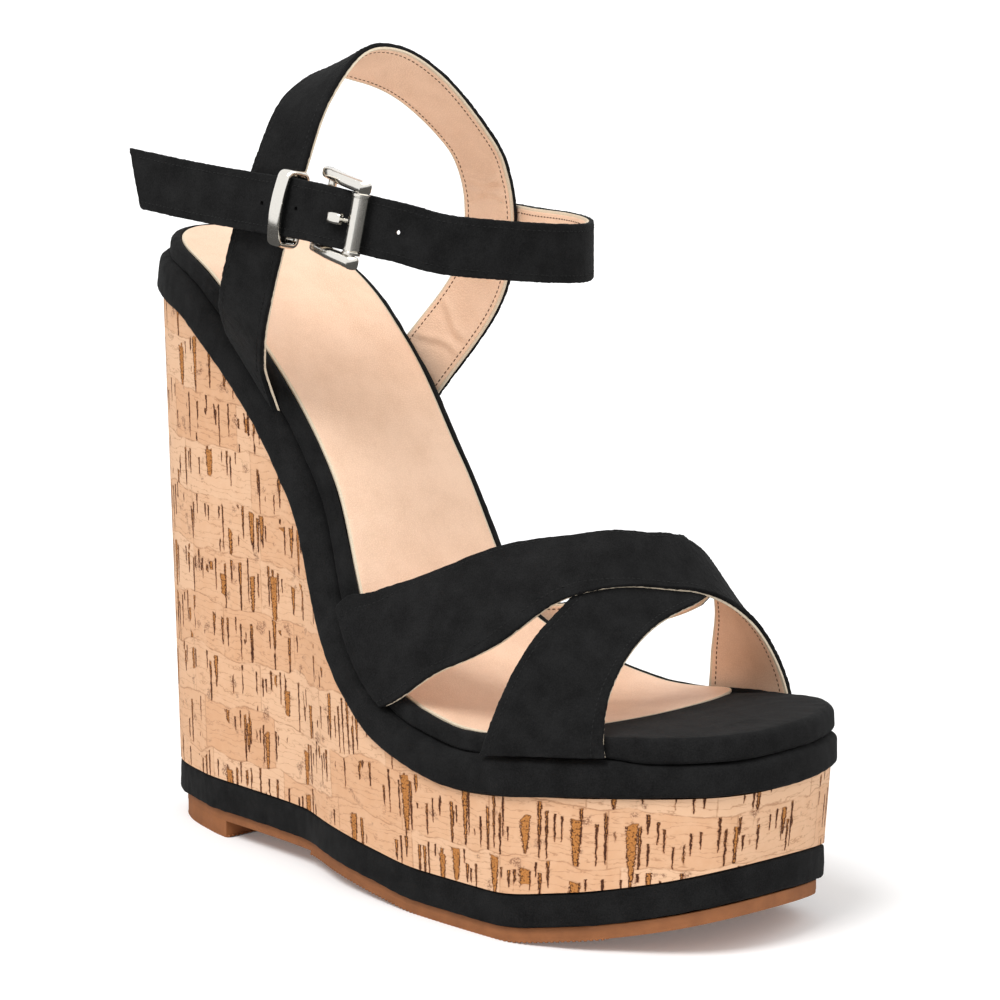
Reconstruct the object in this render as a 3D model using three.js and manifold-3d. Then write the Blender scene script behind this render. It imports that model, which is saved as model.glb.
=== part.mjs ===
// Platform wedge sandal for the right foot, in millimetres.
// X runs from heel to toe, -Y is the outer (buckle) side, +Z is up and the floor is z = 0.
// The origin is the middle of the heel block's face on the floor.
import * as THREE from "three";
import Module from "manifold-3d";

const wasm = await Module();
wasm.setup();

// Footbed and wedge
const footbedLength = 221.5;
const ballWidth = 76;
const ballHeight = 53;
const heelHeight = 157.5;
const seatGap = 0.3;
const sockThickness = 1;
const padThickness = 4;
const padOverhang = 2.8;
const padRounding = 2;
const rimThickness = 9.8;
const rimOverhang = 5.2;
const rimRounding = 1.8;
const wedgeHeelRake = 5;
const wedgeToeRake = 3.9;
const wedgeSideTaper = 2.2;
const bandThickness = 8.6;
const bandRounding = 0.8;

// Outsole
const outsoleThickness = 2.8;
const outsoleInset = 1.8;
const treadThickness = 0.9;
const treadInset = 0.6;
const heelBlockLength = 35;
const heelBlockLift = 3;
const archLift = 3.8;
const toeSpring = 10.8;
const treadStart = 0.4;

// Straps
const strapWall = 2;
const strapClearance = 0.8;
const crossingLift = 1.7;
const instepHeight = 52;
const instepSide = 10;
const instepFlare = 0.9;
const instepFall = 1.25;
const loopWidth = 19;
const loopHeight = 76.5;
const loopHalfSpan = 43;
const loopLean = 27.5;
const ankleStrapWidth = 16;
const ankleReach = 90;
const ankleHeight = 179;
const ankleDrop = 16;
const runSlope = -0.045;
const tailLength = 46.5;
const tailSkew = 6;
const holeRadius = 1.1;
const holeSpacing = 11.5;

// Buckle, its tab and the keeper, set out from the middle of the heel loop's outer side
const tabWall = 1.6;
const tabWidth = 14;
const tabLap = 7;
const tabReturn = 6;
const barSetout = 23;
const barRadius = 1.1;
const frameLength = 17;
const armWidth = 2.8;
const armDepth = 3.4;
const rollerWall = 0.5;
const rollerDip = 2.7;
const prongRadius = 0.9;
const prongEyeWall = 1.1;
const prongLength = 13.4;
const hardwareGap = 0.4;
const keeperSetout = 12.8;
const keeperWidth = 4;
const keeperWall = 1.4;

// Rounded sides of the rim, the pad and the band: shares of their thickness and of their rounding.
const rimSection = [
  { up: 0, inset: 1 },
  { up: 0.18, inset: 0.2 },
  { up: 0.5, inset: 0 },
  { up: 0.82, inset: 0.2 },
  { up: 1, inset: 1 },
];
const padSection = [
  { up: 0, inset: 0.3 },
  { up: 0.25, inset: 0 },
  { up: 0.55, inset: 0.25 },
  { up: 0.85, inset: 0.6 },
  { up: 1, inset: 1 },
];
const bandSection = [
  { up: 0, inset: 1 },
  { up: 0.12, inset: 0 },
  { up: 0.88, inset: 0 },
  { up: 1, inset: 1 },
];

// Half widths of the footbed's edge along its own length, as shares of half the ball width.
const footbedRows = [
  { along: 0, outer: 0, inner: 0 },
  { along: 0.03, outer: 0.33, inner: 0.46 },
  { along: 0.06, outer: 0.43, inner: 0.6 },
  { along: 0.105, outer: 0.51, inner: 0.68 },
  { along: 0.16, outer: 0.57, inner: 0.685 },
  { along: 0.25, outer: 0.61, inner: 0.63 },
  { along: 0.4, outer: 0.68, inner: 0.5 },
  { along: 0.55, outer: 0.85, inner: 0.53 },
  { along: 0.675, outer: 0.98, inner: 0.9 },
  { along: 0.79, outer: 1.01, inner: 0.98 },
  { along: 0.86, outer: 0.88, inner: 0.99 },
  { along: 0.912, outer: 0.69, inner: 0.975 },
  { along: 0.955, outer: 0.51, inner: 0.86 },
  { along: 0.985, outer: 0.32, inner: 0.53 },
  { along: 1, outer: 0, inner: 0 },
];

// Side profile of the footbed: share of its length, and share of the rise from ball to heel.
const profileRows = [
  { along: 0, rise: 1 },
  { along: 0.146, rise: 0.96 },
  { along: 0.283, rise: 0.77 },
  { along: 0.401, rise: 0.51 },
  { along: 0.518, rise: 0.115 },
  { along: 0.655, rise: 0 },
  { along: 0.812, rise: 0.02 },
  { along: 1, rise: 0.047 },
];

// Underside of the sole between its ends, as shares of the lifts at heel, arch and toe.
const undersideRows = [
  { along: 0, heel: 1, arch: 0, toe: 0 },
  { along: 0.25, heel: 0, arch: 1, toe: 0 },
  { along: 0.4, heel: 0, arch: 0.95, toe: 0 },
  { along: 0.52, heel: 0, arch: 0.45, toe: 0 },
  { along: 0.62, heel: 0, arch: 0, toe: 0 },
  { along: 0.74, heel: 0, arch: 0, toe: 0 },
  { along: 0.85, heel: 0, arch: 0, toe: 0.25 },
  { along: 0.93, heel: 0, arch: 0, toe: 0.58 },
  { along: 1, heel: 0, arch: 0, toe: 1 },
];

// Crown of the vamp over the instep: share of the footbed's length, and of the instep height.
const crownRows = [
  { along: 0.381, rise: 0.72 },
  { along: 0.509, rise: 0.87 },
  { along: 0.64, rise: 0.99 },
  { along: 0.754, rise: 0.88 },
  { along: 0.842, rise: 0.53 },
  { along: 0.935, rise: 0.44 },
];

// Where the sock's front cut meets its outer edge, its inner edge and its middle, along the footbed.
const sockCut = { outer: 0.805, inner: 0.838, middle: 0.872 };

// Edges of the two vamp straps: share of the girth from outer to inner side, shares of the footbed's length.
const overStrapRows = [
  { girth: 0, rear: 0.465, front: 0.573, lift: 0 },
  { girth: 0.1, rear: 0.483, front: 0.632, lift: 0 },
  { girth: 0.2, rear: 0.518, front: 0.731, lift: 0.35 },
  { girth: 0.3, rear: 0.646, front: 0.776, lift: 1 },
  { girth: 0.4, rear: 0.741, front: 0.804, lift: 1 },
  { girth: 0.5, rear: 0.772, front: 0.824, lift: 1 },
  { girth: 0.6, rear: 0.776, front: 0.835, lift: 1 },
  { girth: 0.7, rear: 0.767, front: 0.842, lift: 0.7 },
  { girth: 0.8, rear: 0.75, front: 0.844, lift: 0.2 },
  { girth: 0.9, rear: 0.727, front: 0.847, lift: 0 },
  { girth: 1, rear: 0.717, front: 0.849, lift: 0 },
];
const underStrapRows = [
  { girth: 0, rear: 0.731, front: 0.88, lift: 0 },
  { girth: 0.1, rear: 0.747, front: 0.873, lift: 0 },
  { girth: 0.2, rear: 0.76, front: 0.862, lift: 0 },
  { girth: 0.3, rear: 0.772, front: 0.851, lift: 0 },
  { girth: 0.4, rear: 0.776, front: 0.84, lift: 0 },
  { girth: 0.5, rear: 0.772, front: 0.831, lift: 0 },
  { girth: 0.6, rear: 0.757, front: 0.814, lift: 0 },
  { girth: 0.7, rear: 0.709, front: 0.786, lift: 0 },
  { girth: 0.8, rear: 0.618, front: 0.731, lift: 0 },
  { girth: 0.9, rear: 0.528, front: 0.613, lift: 0 },
  { girth: 1, rear: 0.479, front: 0.565, lift: 0 },
];

// Middle line of the heel loop from outer to inner foot: shares of its lean, half span and height.
// The pitch is how far its front edge is raised, in degrees.
const loopFoot = { along: 0.241, pitch: -44 };
const loopRows = [
  { lean: 0.48, side: -0.97, rise: 0.157, pitch: -25 },
  { lean: 0.78, side: -1, rise: 0.43, pitch: -12 },
  { lean: 0.92, side: -0.89, rise: 0.69, pitch: 0 },
  { lean: 0.94, side: -0.71, rise: 0.88, pitch: 9 },
  { lean: 0.95, side: -0.4, rise: 0.995, pitch: 24 },
  { lean: 0.98, side: -0.15, rise: 0.98, pitch: 30 },
  { lean: 1.02, side: 0.15, rise: 0.895, pitch: 22 },
  { lean: 1.05, side: 0.49, rise: 0.725, pitch: 9 },
  { lean: 1.02, side: 0.66, rise: 0.61, pitch: 3 },
  { lean: 0.95, side: 0.79, rise: 0.44, pitch: -6 },
  { lean: 0.72, side: 0.84, rise: 0.176, pitch: -22 },
];

// Middle line of the ankle strap round the front of the ankle: shares of its reach and half span,
// the share of its drop below the buckle run, and how far its top tilts inwards, in degrees.
const ankleRows = [
  { reach: 0.48, side: 0.8, drop: 0.87, lean: 10 },
  { reach: 0.66, side: 0.7, drop: 0.78, lean: 3 },
  { reach: 0.794, side: 0.56, drop: 0.78, lean: 0 },
  { reach: 0.905, side: 0.37, drop: 0.76, lean: 0 },
  { reach: 0.983, side: 0.14, drop: 0.72, lean: 0 },
  { reach: 0.994, side: -0.12, drop: 0.64, lean: 1 },
  { reach: 0.94, side: -0.44, drop: 0.53, lean: 4 },
  { reach: 0.85, side: -0.73, drop: 0.36, lean: 8 },
  { reach: 0.772, side: -0.895, drop: 0.18, lean: 12 },
];

const stationCount = 48;
const halfBall = ballWidth / 2;
const heelRise = heelHeight - ballHeight;
const padTop = -sockThickness - seatGap;
const grooveDepth = padThickness - padTop;
const rimTop = -grooveDepth - seatGap;
const rimBottom = rimTop - rimThickness;
const bandTop = treadThickness + outsoleThickness + seatGap + bandThickness;

const clamp = THREE.MathUtils.clamp;
const radians = THREE.MathUtils.degToRad;
const sorted = (rows, key) => rows.map((row) => row[key]);

/** A monotone cubic through one column of a table, as a function of another column. */
function smoothColumn(rows, from, to) {
  const at = sorted(rows, from);
  const value = sorted(rows, to);
  const last = at.length - 1;
  const span = at.slice(1).map((next, i) => next - at[i]);
  const slope = span.map((width, i) => (value[i + 1] - value[i]) / width);
  const endTangent = (i, j) => {
    const tangent = ((2 * span[i] + span[j]) * slope[i] - span[i] * slope[j]) / (span[i] + span[j]);
    return tangent * slope[i] <= 0 ? 0 : tangent;
  };
  const tangents = value.map((_, i) => {
    if (i === 0) return endTangent(0, 1);
    if (i === last) return endTangent(last - 1, last - 2);
    return slope[i - 1] * slope[i] <= 0 ? 0 : 2 / (1 / slope[i - 1] + 1 / slope[i]);
  });
  return (where) => {
    const x = clamp(where, at[0], at[last]);
    const i = Math.max(0, Math.min(last - 1, at.findIndex((next) => next >= x) - 1));
    const t = (x - at[i]) / span[i];
    const rise = tangents[i] * span[i];
    const fall = tangents[i + 1] * span[i];
    const change = value[i + 1] - value[i];
    return value[i] + t * (rise + t * (3 * change - 2 * rise - fall + t * (rise + fall - 2 * change)));
  };
}

const squared = (rows, key) => rows.map((row) => ({ along: row.along, width: row[key] ** 2 }));
const outerSquare = smoothColumn(squared(footbedRows, "outer"), "along", "width");
const innerSquare = smoothColumn(squared(footbedRows, "inner"), "along", "width");
const halfWidth = {
  outer: (along) => -halfBall * Math.sqrt(Math.max(0, outerSquare(along))),
  inner: (along) => halfBall * Math.sqrt(Math.max(0, innerSquare(along))),
};

const profile = new THREE.SplineCurve(
  profileRows.map((row) => new THREE.Vector2(row.along * footbedLength, ballHeight + row.rise * heelRise)),
);
profile.arcLengthDivisions = 400;
const footbedArc = profile.getLength();

/** A point over the footbed: distance along it from the heel, distance to the side, height above it. */
function onFootbed(run, side, height) {
  const along = clamp(run / footbedArc, 0, 1);
  const spot = profile.getPointAt(along);
  const tangent = profile.getTangentAt(along);
  spot.addScaledVector(tangent, run - along * footbedArc);
  return new THREE.Vector3(spot.x - tangent.y * height, side, spot.y + tangent.x * height);
}

/** Distance along the footbed at a share of its length on the floor. */
function runAt(share) {
  let low = 0;
  let high = 1;
  for (let step = 0; step < 30; step += 1) {
    const middle = (low + high) / 2;
    if (profile.getPointAt(middle).x < share * footbedLength) low = middle;
    else high = middle;
  }
  return low * footbedArc;
}

/** Shares along an outline, closer together at its round ends. */
function stations(from = 0, to = 1) {
  const all = Array.from({ length: stationCount + 1 }, (_, i) => 0.5 - 0.5 * Math.cos((Math.PI * i) / stationCount));
  const near = 0.3 / stationCount;
  return [from, ...all.filter((share) => share > from + near && share < to - near), to];
}

/** How far an outline grown sideways reaches at a share of its length. */
const growth = (share) => Math.sqrt(Math.sqrt(Math.max(0, Math.sin(Math.PI * share))));

/** Distance along the footbed at a share of an outline's length, and the other way round. */
const footbedRun = (share, outset) => {
  const setback = rimOverhang - outset;
  return setback + (footbedArc - 2 * setback) * share;
};
const footbedShare = (run, outset) => {
  const setback = rimOverhang - outset;
  return (run - setback) / (footbedArc - 2 * setback);
};

/** Outer edge then inner edge of the footbed's outline, grown by an outset, at a height over it. */
function footbedRing(outset, height) {
  const edge = (side) =>
    stations().map((share) => {
      const width = halfWidth[side](share) + Math.sign(halfWidth[side](0.5)) * outset * growth(share);
      return onFootbed(footbedRun(share, outset), width, height);
    });
  return [...edge("outer"), ...edge("inner").reverse()];
}

const wedgeTopX = (share) => onFootbed(footbedRun(share, rimOverhang), 0, rimBottom).x;
const wedgeHeelEnd = wedgeTopX(0) + wedgeHeelRake;
const wedgeToeEnd = wedgeTopX(1) - wedgeToeRake;
const bottomShare = (share) => (wedgeTopX(share) - wedgeTopX(0)) / (wedgeTopX(1) - wedgeTopX(0));
const bottomX = (share, inset) =>
  THREE.MathUtils.lerp(wedgeHeelEnd + inset, wedgeToeEnd - inset, bottomShare(share));

const liftColumn = (key) => smoothColumn(undersideRows, "along", key);
const heelLiftShare = liftColumn("heel");
const archLiftShare = liftColumn("arch");
const toeLiftShare = liftColumn("toe");

/** Height of the sole's underside, tread included, over the floor. */
function undersideLift(x) {
  const along = clamp((x - wedgeHeelEnd) / (wedgeToeEnd - wedgeHeelEnd), 0, 1);
  return (
    heelLiftShare(along) * heelBlockLift + archLiftShare(along) * archLift + toeLiftShare(along) * toeSpring
  );
}

/** Outline of the wedge's lower end at a height that follows x. */
function bottomRing(inset, heightAt, from = 0, to = 1) {
  const edge = (side) =>
    stations(from, to).map((share) => {
      const sign = Math.sign(halfWidth[side](0.5));
      const reach = (rimOverhang - wedgeSideTaper - inset) * growth(share);
      const x = bottomX(share, inset);
      return new THREE.Vector3(x, halfWidth[side](share) + sign * reach, heightAt(x));
    });
  return [...edge("outer"), ...edge("inner").reverse()];
}

/** A closed mesh through rings with equal counts, whose first half runs opposite its second half. */
function loft(rings) {
  const count = rings[0].length;
  const half = count / 2;
  const triangles = [];
  for (let level = 1; level < rings.length; level += 1) {
    for (let i = 0; i < count; i += 1) {
      const next = (i + 1) % count;
      const [a, b] = [rings[level - 1][i], rings[level - 1][next]];
      const [c, d] = [rings[level][next], rings[level][i]];
      triangles.push([a, b, c], [a, c, d]);
    }
  }
  const cap = (ring, flip) => {
    for (let i = 0; i < half - 1; i += 1) {
      const [a, b] = [ring[i], ring[i + 1]];
      const [c, d] = [ring[count - 2 - i], ring[count - 1 - i]];
      triangles.push(flip ? [a, c, b] : [a, b, c], flip ? [a, d, c] : [a, c, d]);
    }
  };
  cap(rings[0], true);
  cap(rings[rings.length - 1], false);
  return closedGeometry(triangles);
}

/** Joins triangles into one indexed geometry with its faces pointing out. */
function closedGeometry(triangles) {
  const places = new Map();
  const positions = [];
  const index = [];
  const place = (point) => {
    const key = point.toArray().map((value) => Math.round(value * 1e4)).join(",");
    if (!places.has(key)) {
      places.set(key, positions.length / 3);
      positions.push(point.x, point.y, point.z);
    }
    return places.get(key);
  };
  let volume = 0;
  for (const [a, b, c] of triangles) {
    const corners = [place(a), place(b), place(c)];
    if (new Set(corners).size < 3) continue;
    index.push(...corners);
    volume += new THREE.Vector3().crossVectors(b, c).dot(a);
  }
  if (volume < 0) index.reverse();
  const geometry = new THREE.BufferGeometry();
  geometry.setAttribute("position", new THREE.Float32BufferAttribute(positions, 3));
  geometry.setIndex(index);
  return geometry;
}

/** The library's solid of a three.js geometry, after a placement. */
function toSolid(geometry, placement = new THREE.Matrix4()) {
  const source = geometry.index ? geometry.toNonIndexed() : geometry;
  const position = source.attributes.position;
  const corner = (i) => new THREE.Vector3().fromBufferAttribute(position, i).applyMatrix4(placement);
  const triangles = [];
  for (let i = 0; i < position.count; i += 3) triangles.push([corner(i), corner(i + 1), corner(i + 2)]);
  const closed = closedGeometry(triangles);
  const mesh = new wasm.Mesh({
    numProp: 3,
    vertProperties: new Float32Array(closed.attributes.position.array),
    triVerts: new Uint32Array(closed.index.array),
  });
  return new wasm.Manifold(mesh);
}

/** A three.js geometry of one of the library's solids. */
function toGeometry(solid) {
  const mesh = solid.getMesh();
  const geometry = new THREE.BufferGeometry();
  geometry.setAttribute("position", new THREE.BufferAttribute(new Float32Array(mesh.vertProperties), 3));
  geometry.setIndex(new THREE.BufferAttribute(new Uint32Array(mesh.triVerts), 1));
  return geometry;
}

/** The sole: a thin sheet with a block under the heel and a tread under the ball and toe. */
function outsole() {
  const sheetTop = (x) => undersideLift(x) + treadThickness + outsoleThickness;
  const sheetBottom = (x) => undersideLift(x) + treadThickness;
  const inSheet = (x) => undersideLift(x) + treadThickness + outsoleThickness / 2;
  const floor = () => 0;
  const shareAt = (x) => stations().findLast((share) => bottomX(share, outsoleInset) <= x);
  const breast = shareAt(wedgeHeelEnd + heelBlockLength + outsoleInset);
  const sheet = toSolid(loft([bottomRing(outsoleInset, sheetBottom), bottomRing(outsoleInset, sheetTop)]));
  const blockInset = outsoleInset + treadInset;
  const block = toSolid(
    loft([bottomRing(blockInset, floor, 0, breast), bottomRing(blockInset, inSheet, 0, breast)]),
  );
  const tread = toSolid(
    loft([bottomRing(blockInset, undersideLift, treadStart, 1), bottomRing(blockInset, inSheet, treadStart, 1)]),
  );
  return toGeometry(sheet.add(block).add(tread));
}

/** The covered band between the outsole and the cork. */
function baseBand() {
  const low = treadThickness + outsoleThickness + seatGap;
  const ring = ({ up, inset }) => bottomRing(inset * bandRounding, (x) => undersideLift(x) + low + up * bandThickness);
  return loft(bandSection.map(ring));
}

/** The cork wedge, ruled between the band's outline and the rim's. */
function corkWedge() {
  const low = bottomRing(0, (x) => undersideLift(x) + bandTop + seatGap);
  const high = footbedRing(rimOverhang - rimRounding, rimBottom - seatGap);
  const middle = low.map((point, i) => point.clone().lerp(high[i], 0.5));
  return loft([low, middle, high]);
}

/** The padded rim round the footbed. */
function footbedRim() {
  const ring = ({ up, inset }) => footbedRing(rimOverhang - inset * rimRounding, rimBottom + up * rimThickness);
  return loft(rimSection.map(ring));
}

/** The cushion under the foot, with a rounded edge. */
function footbedPad() {
  const ring = ({ up, inset }) => footbedRing(padOverhang - inset * padRounding, up * padThickness - grooveDepth);
  return loft(padSection.map(ring));
}

/** The thin sock on the pad, cut in a shallow arc short of the toe. */
function insoleSock() {
  const front = Array.from({ length: 6 }, (_, i) => sockCut.middle - (sockCut.middle - sockCut.outer) * (1 - i / 5) ** 2);
  const shares = [...stations(0, sockCut.outer), ...front.slice(1)];
  const reach = (side, share) => {
    const past = clamp((share - sockCut[side]) / (sockCut.middle - sockCut[side]), 0, 1);
    return halfWidth[side](share) * Math.sqrt(1 - past ** 2);
  };
  const ring = (height) => {
    const edge = (side) => shares.map((share) => onFootbed(footbedRun(share, 0), reach(side, share), height));
    return [...edge("outer"), ...edge("inner").reverse()];
  };
  return loft([ring(-sockThickness), ring(0)]);
}

const crown = smoothColumn(crownRows, "along", "rise");

/** Sideways place of a strap's middle that lies against the pad's edge at a run along the footbed. */
function besidePad(run, side) {
  const along = footbedShare(run, padOverhang);
  const reach = 0.01;
  const slope = (halfWidth[side](along + reach) - halfWidth[side](along - reach)) / (2 * reach * footbedArc);
  const standoff = padOverhang + (strapClearance + strapWall / 2) * Math.hypot(1, slope);
  return halfWidth[side](along) + (side === "outer" ? -standoff : standoff);
}

/** A point on the arch over the foot: share of the footbed's length, share of the girth. */
function onInstep(share, girth, lift) {
  const run = runAt(share);
  const foot = onFootbed(run, 0, strapClearance / 2 - grooveDepth);
  const edge = besidePad(run, girth < 0.5 ? "outer" : "inner");
  const top = ballHeight + crown(share) * instepHeight;
  const angle = Math.PI * girth;
  const across = Math.abs(Math.cos(angle)) ** instepFlare;
  const up = Math.max(0, Math.sin(angle)) ** instepFall;
  const { lerp } = THREE.MathUtils;
  return new THREE.Vector3(foot.x, lerp(instepSide, edge, across), lerp(foot.z, top + lift, up));
}

/** Ring of a flat strap at one place: its outside from one edge to the other, then its inside back. */
function strapRing(middles, normals, wall) {
  const outside = middles.map((point, i) => point.clone().addScaledVector(normals[i], wall / 2));
  const inside = middles.map((point, i) => point.clone().addScaledVector(normals[i], -wall / 2));
  return [...outside, ...inside.reverse()];
}

/** One vamp strap over the instep, from groove to groove. */
function vampStrap(rows) {
  const rear = smoothColumn(rows, "girth", "rear");
  const front = smoothColumn(rows, "girth", "front");
  const lift = smoothColumn(rows, "girth", "lift");
  const turns = 32;
  const across = 8;
  const step = 0.004;
  const spot = (girth, part) =>
    onInstep(
      THREE.MathUtils.lerp(rear(girth), front(girth), part),
      girth,
      lift(girth) * crossingLift,
    );
  const rings = [];
  for (let i = 0; i <= turns; i += 1) {
    const girth = i / turns;
    const parts = Array.from({ length: across + 1 }, (_, j) => j / across);
    const middles = parts.map((part) => spot(girth, part));
    const normals = parts.map((part) => {
      const down = clamp(girth - step, 0, 1 - 2 * step);
      const along = spot(down + 2 * step, part).sub(spot(down, part));
      const share = THREE.MathUtils.lerp(rear(girth), front(girth), part);
      const forward = onInstep(share + step, girth, 0).sub(onInstep(share - step, girth, 0));
      return forward.cross(along).normalize().negate();
    });
    rings.push(strapRing(middles, normals, strapWall));
  }
  return toSolid(loft(rings));
}

const vampStraps = () => toGeometry(vampStrap(overStrapRows).add(vampStrap(underStrapRows)));

/** A strap of even width along a curve; broadside(t) is the rough direction of its width there. */
function ribbon(curve, broadside, width, wall, steps, across = 2, skew = 0) {
  const rings = [];
  for (let i = 0; i <= steps; i += 1) {
    const t = i / steps;
    const tangent = curve.getTangentAt(t);
    const wide = broadside(t);
    wide.addScaledVector(tangent, -wide.dot(tangent)).normalize();
    const normal = new THREE.Vector3().crossVectors(tangent, wide);
    const slant = i === steps ? skew / width : 0;
    const middles = Array.from({ length: across + 1 }, (_, j) => {
      const out = (j / across - 0.5) * width;
      return curve.getPointAt(t).addScaledVector(wide, out).addScaledVector(tangent, out * slant);
    });
    rings.push(strapRing(middles, middles.map(() => normal), wall));
  }
  return loft(rings);
}

/** A column of a table by share along a curve through its rows. */
function columnAlong(curve, rows, key) {
  const lengths = curve.getLengths(400);
  const total = lengths[lengths.length - 1];
  const marks = rows.map((row, i) => ({
    at: lengths[Math.round((400 * i) / (rows.length - 1))] / total,
    value: row[key],
  }));
  return smoothColumn(marks, "at", "value");
}

const loopFootRun = loopFoot.along * footbedArc;
const loopFootPoint = (side) =>
  onFootbed(loopFootRun, besidePad(loopFootRun, side), strapClearance - grooveDepth);
const loopBase = onFootbed(loopFootRun, 0, 0);
const loopPoints = [
  loopFootPoint("outer"),
  ...loopRows.map(
    (row) =>
      new THREE.Vector3(
        loopBase.x + row.lean * loopLean,
        row.side * loopHalfSpan,
        loopBase.z + row.rise * loopHeight,
      ),
  ),
  loopFootPoint("inner"),
];
const loopCurve = new THREE.CatmullRomCurve3(loopPoints, false, "centripetal");

const loopPitch = columnAlong(loopCurve, [loopFoot, ...loopRows, loopFoot], "pitch");
const loopBroadside = (t) => {
  const pitch = radians(loopPitch(t));
  return new THREE.Vector3(Math.cos(pitch), 0, Math.sin(pitch));
};

/** The strap that stands over the heel seat from side to side. */
const heelLoop = () => ribbon(loopCurve, loopBroadside, loopWidth, strapWall, 44);

/** Place and axes on the loop at a height: X forwards, Y from outer to inner side, Z up the strap. */
function loopFrame(side, height, slope) {
  let low = side === "outer" ? 0 : 1;
  let high = 0.45;
  for (let step = 0; step < 30; step += 1) {
    const middle = (low + high) / 2;
    if (loopCurve.getPointAt(middle).z < height) low = middle;
    else high = middle;
  }
  const rising = loopCurve.getTangentAt(low);
  if (rising.z < 0) rising.negate();
  const inward = new THREE.Vector3().crossVectors(rising, loopBroadside(low)).normalize();
  const forward = new THREE.Vector3(1, 0, slope);
  forward.addScaledVector(inward, -forward.dot(inward)).normalize();
  const up = new THREE.Vector3().crossVectors(forward, inward);
  return new THREE.Matrix4().makeBasis(forward, inward, up).setPosition(loopCurve.getPointAt(low));
}

const outerFrame = loopFrame("outer", ankleHeight, runSlope);
const innerFrame = loopFrame("inner", ankleHeight - ankleDrop, 0);
const placed = (frame, x, y, z = 0) => new THREE.Vector3(x, y, z).applyMatrix4(frame);

// Layers on the loop's outer side, from the loop's middle outwards
const tabInside = -(strapWall / 2 + seatGap);
const tabOutside = tabInside - tabWall;
const tailMiddle = tabOutside - seatGap - strapWall / 2;
const eyeInside = barRadius + seatGap;
const barSide = tabInside + eyeInside;
const rollerSetout = barSetout + frameLength;
const rollerRadius = barRadius + seatGap + rollerWall;
const dipMiddle = tailMiddle + rollerDip;
const rollerSide = dipMiddle - strapWall / 2 - 2 * hardwareGap - rollerRadius;
const prongSide = rollerSide - prongRadius / 2;

const sewnSide = strapWall + seatGap;
const ankleMiddles = [
  placed(innerFrame, -loopWidth / 2, sewnSide),
  placed(innerFrame, 0, sewnSide),
  placed(innerFrame, loopWidth * 0.6, sewnSide),
  ...ankleRows.map(
    (row) =>
      new THREE.Vector3(
        loopBase.x + row.reach * ankleReach,
        row.side * loopHalfSpan,
        ankleHeight - row.drop * ankleDrop,
      ),
  ),
  placed(outerFrame, rollerSetout, dipMiddle),
  placed(outerFrame, barSetout + frameLength * 0.7, tailMiddle + rollerDip * 0.65),
  placed(outerFrame, barSetout + frameLength * 0.4, tailMiddle + rollerDip * 0.2),
  placed(outerFrame, barSetout + frameLength * 0.1, tailMiddle),
  placed(outerFrame, barSetout - frameLength * 0.4, tailMiddle),
  placed(outerFrame, 0, tailMiddle),
  placed(outerFrame, -tailLength / 2, tailMiddle),
  placed(outerFrame, -tailLength, tailMiddle),
];
const ankleCurve = new THREE.CatmullRomCurve3(ankleMiddles, false, "centripetal");
ankleCurve.arcLengthDivisions = 800;

/** How far the strap's upper edge tilts inwards along its length, in degrees. */
function ankleLean() {
  const tilt = (frame) => {
    const up = new THREE.Vector3().setFromMatrixColumn(frame, 2);
    return THREE.MathUtils.radToDeg(Math.atan2(Math.abs(up.y), up.z));
  };
  const outerTilt = { lean: tilt(outerFrame) };
  const innerTilt = { lean: tilt(innerFrame) };
  const rows = ankleMiddles.map((_, i) => {
    if (i < 3) return innerTilt;
    return ankleRows[i - 3] ?? outerTilt;
  });
  return columnAlong(ankleCurve, rows, "lean");
}

/** Share along the ankle strap at a distance forwards of the loop's middle, on the buckle run. */
function ankleShare(setout) {
  let low = 0.5;
  let high = 1;
  const target = placed(outerFrame, setout, 0);
  const forward = new THREE.Vector3().setFromMatrixColumn(outerFrame, 0);
  for (let step = 0; step < 30; step += 1) {
    const middle = (low + high) / 2;
    if (ankleCurve.getPointAt(middle).sub(target).dot(forward) > 0) low = middle;
    else high = middle;
  }
  return low;
}

/** A round bar between two points of a placed frame. */
function bar(frame, from, to, radius, sides = 12) {
  const start = placed(frame, ...from);
  const end = placed(frame, ...to);
  const rod = new THREE.CylinderGeometry(radius, radius, start.distanceTo(end), sides);
  const turn = new THREE.Quaternion().setFromUnitVectors(
    new THREE.Vector3(0, 1, 0),
    end.clone().sub(start).normalize(),
  );
  const middle = start.clone().lerp(end, 0.5);
  return toSolid(rod, new THREE.Matrix4().compose(middle, turn, new THREE.Vector3(1, 1, 1)));
}

/** A flat outline in the frame's X and Y, extruded evenly to both sides of a height. */
function plate(frame, shape, depth, height = 0, bevel = 0) {
  const geometry = new THREE.ExtrudeGeometry(shape, {
    depth: depth - 2 * bevel,
    bevelEnabled: bevel > 0,
    bevelThickness: bevel,
    bevelSize: bevel,
    bevelOffset: -bevel,
    bevelSegments: 2,
    curveSegments: 8,
  });
  geometry.translate(0, 0, height - depth / 2 + bevel);
  return toSolid(geometry, frame);
}

const prongStart = [barSetout + eyeInside + prongEyeWall / 2, barSide - prongEyeWall];
const prongEnd = [barSetout + prongLength, prongSide];

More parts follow.
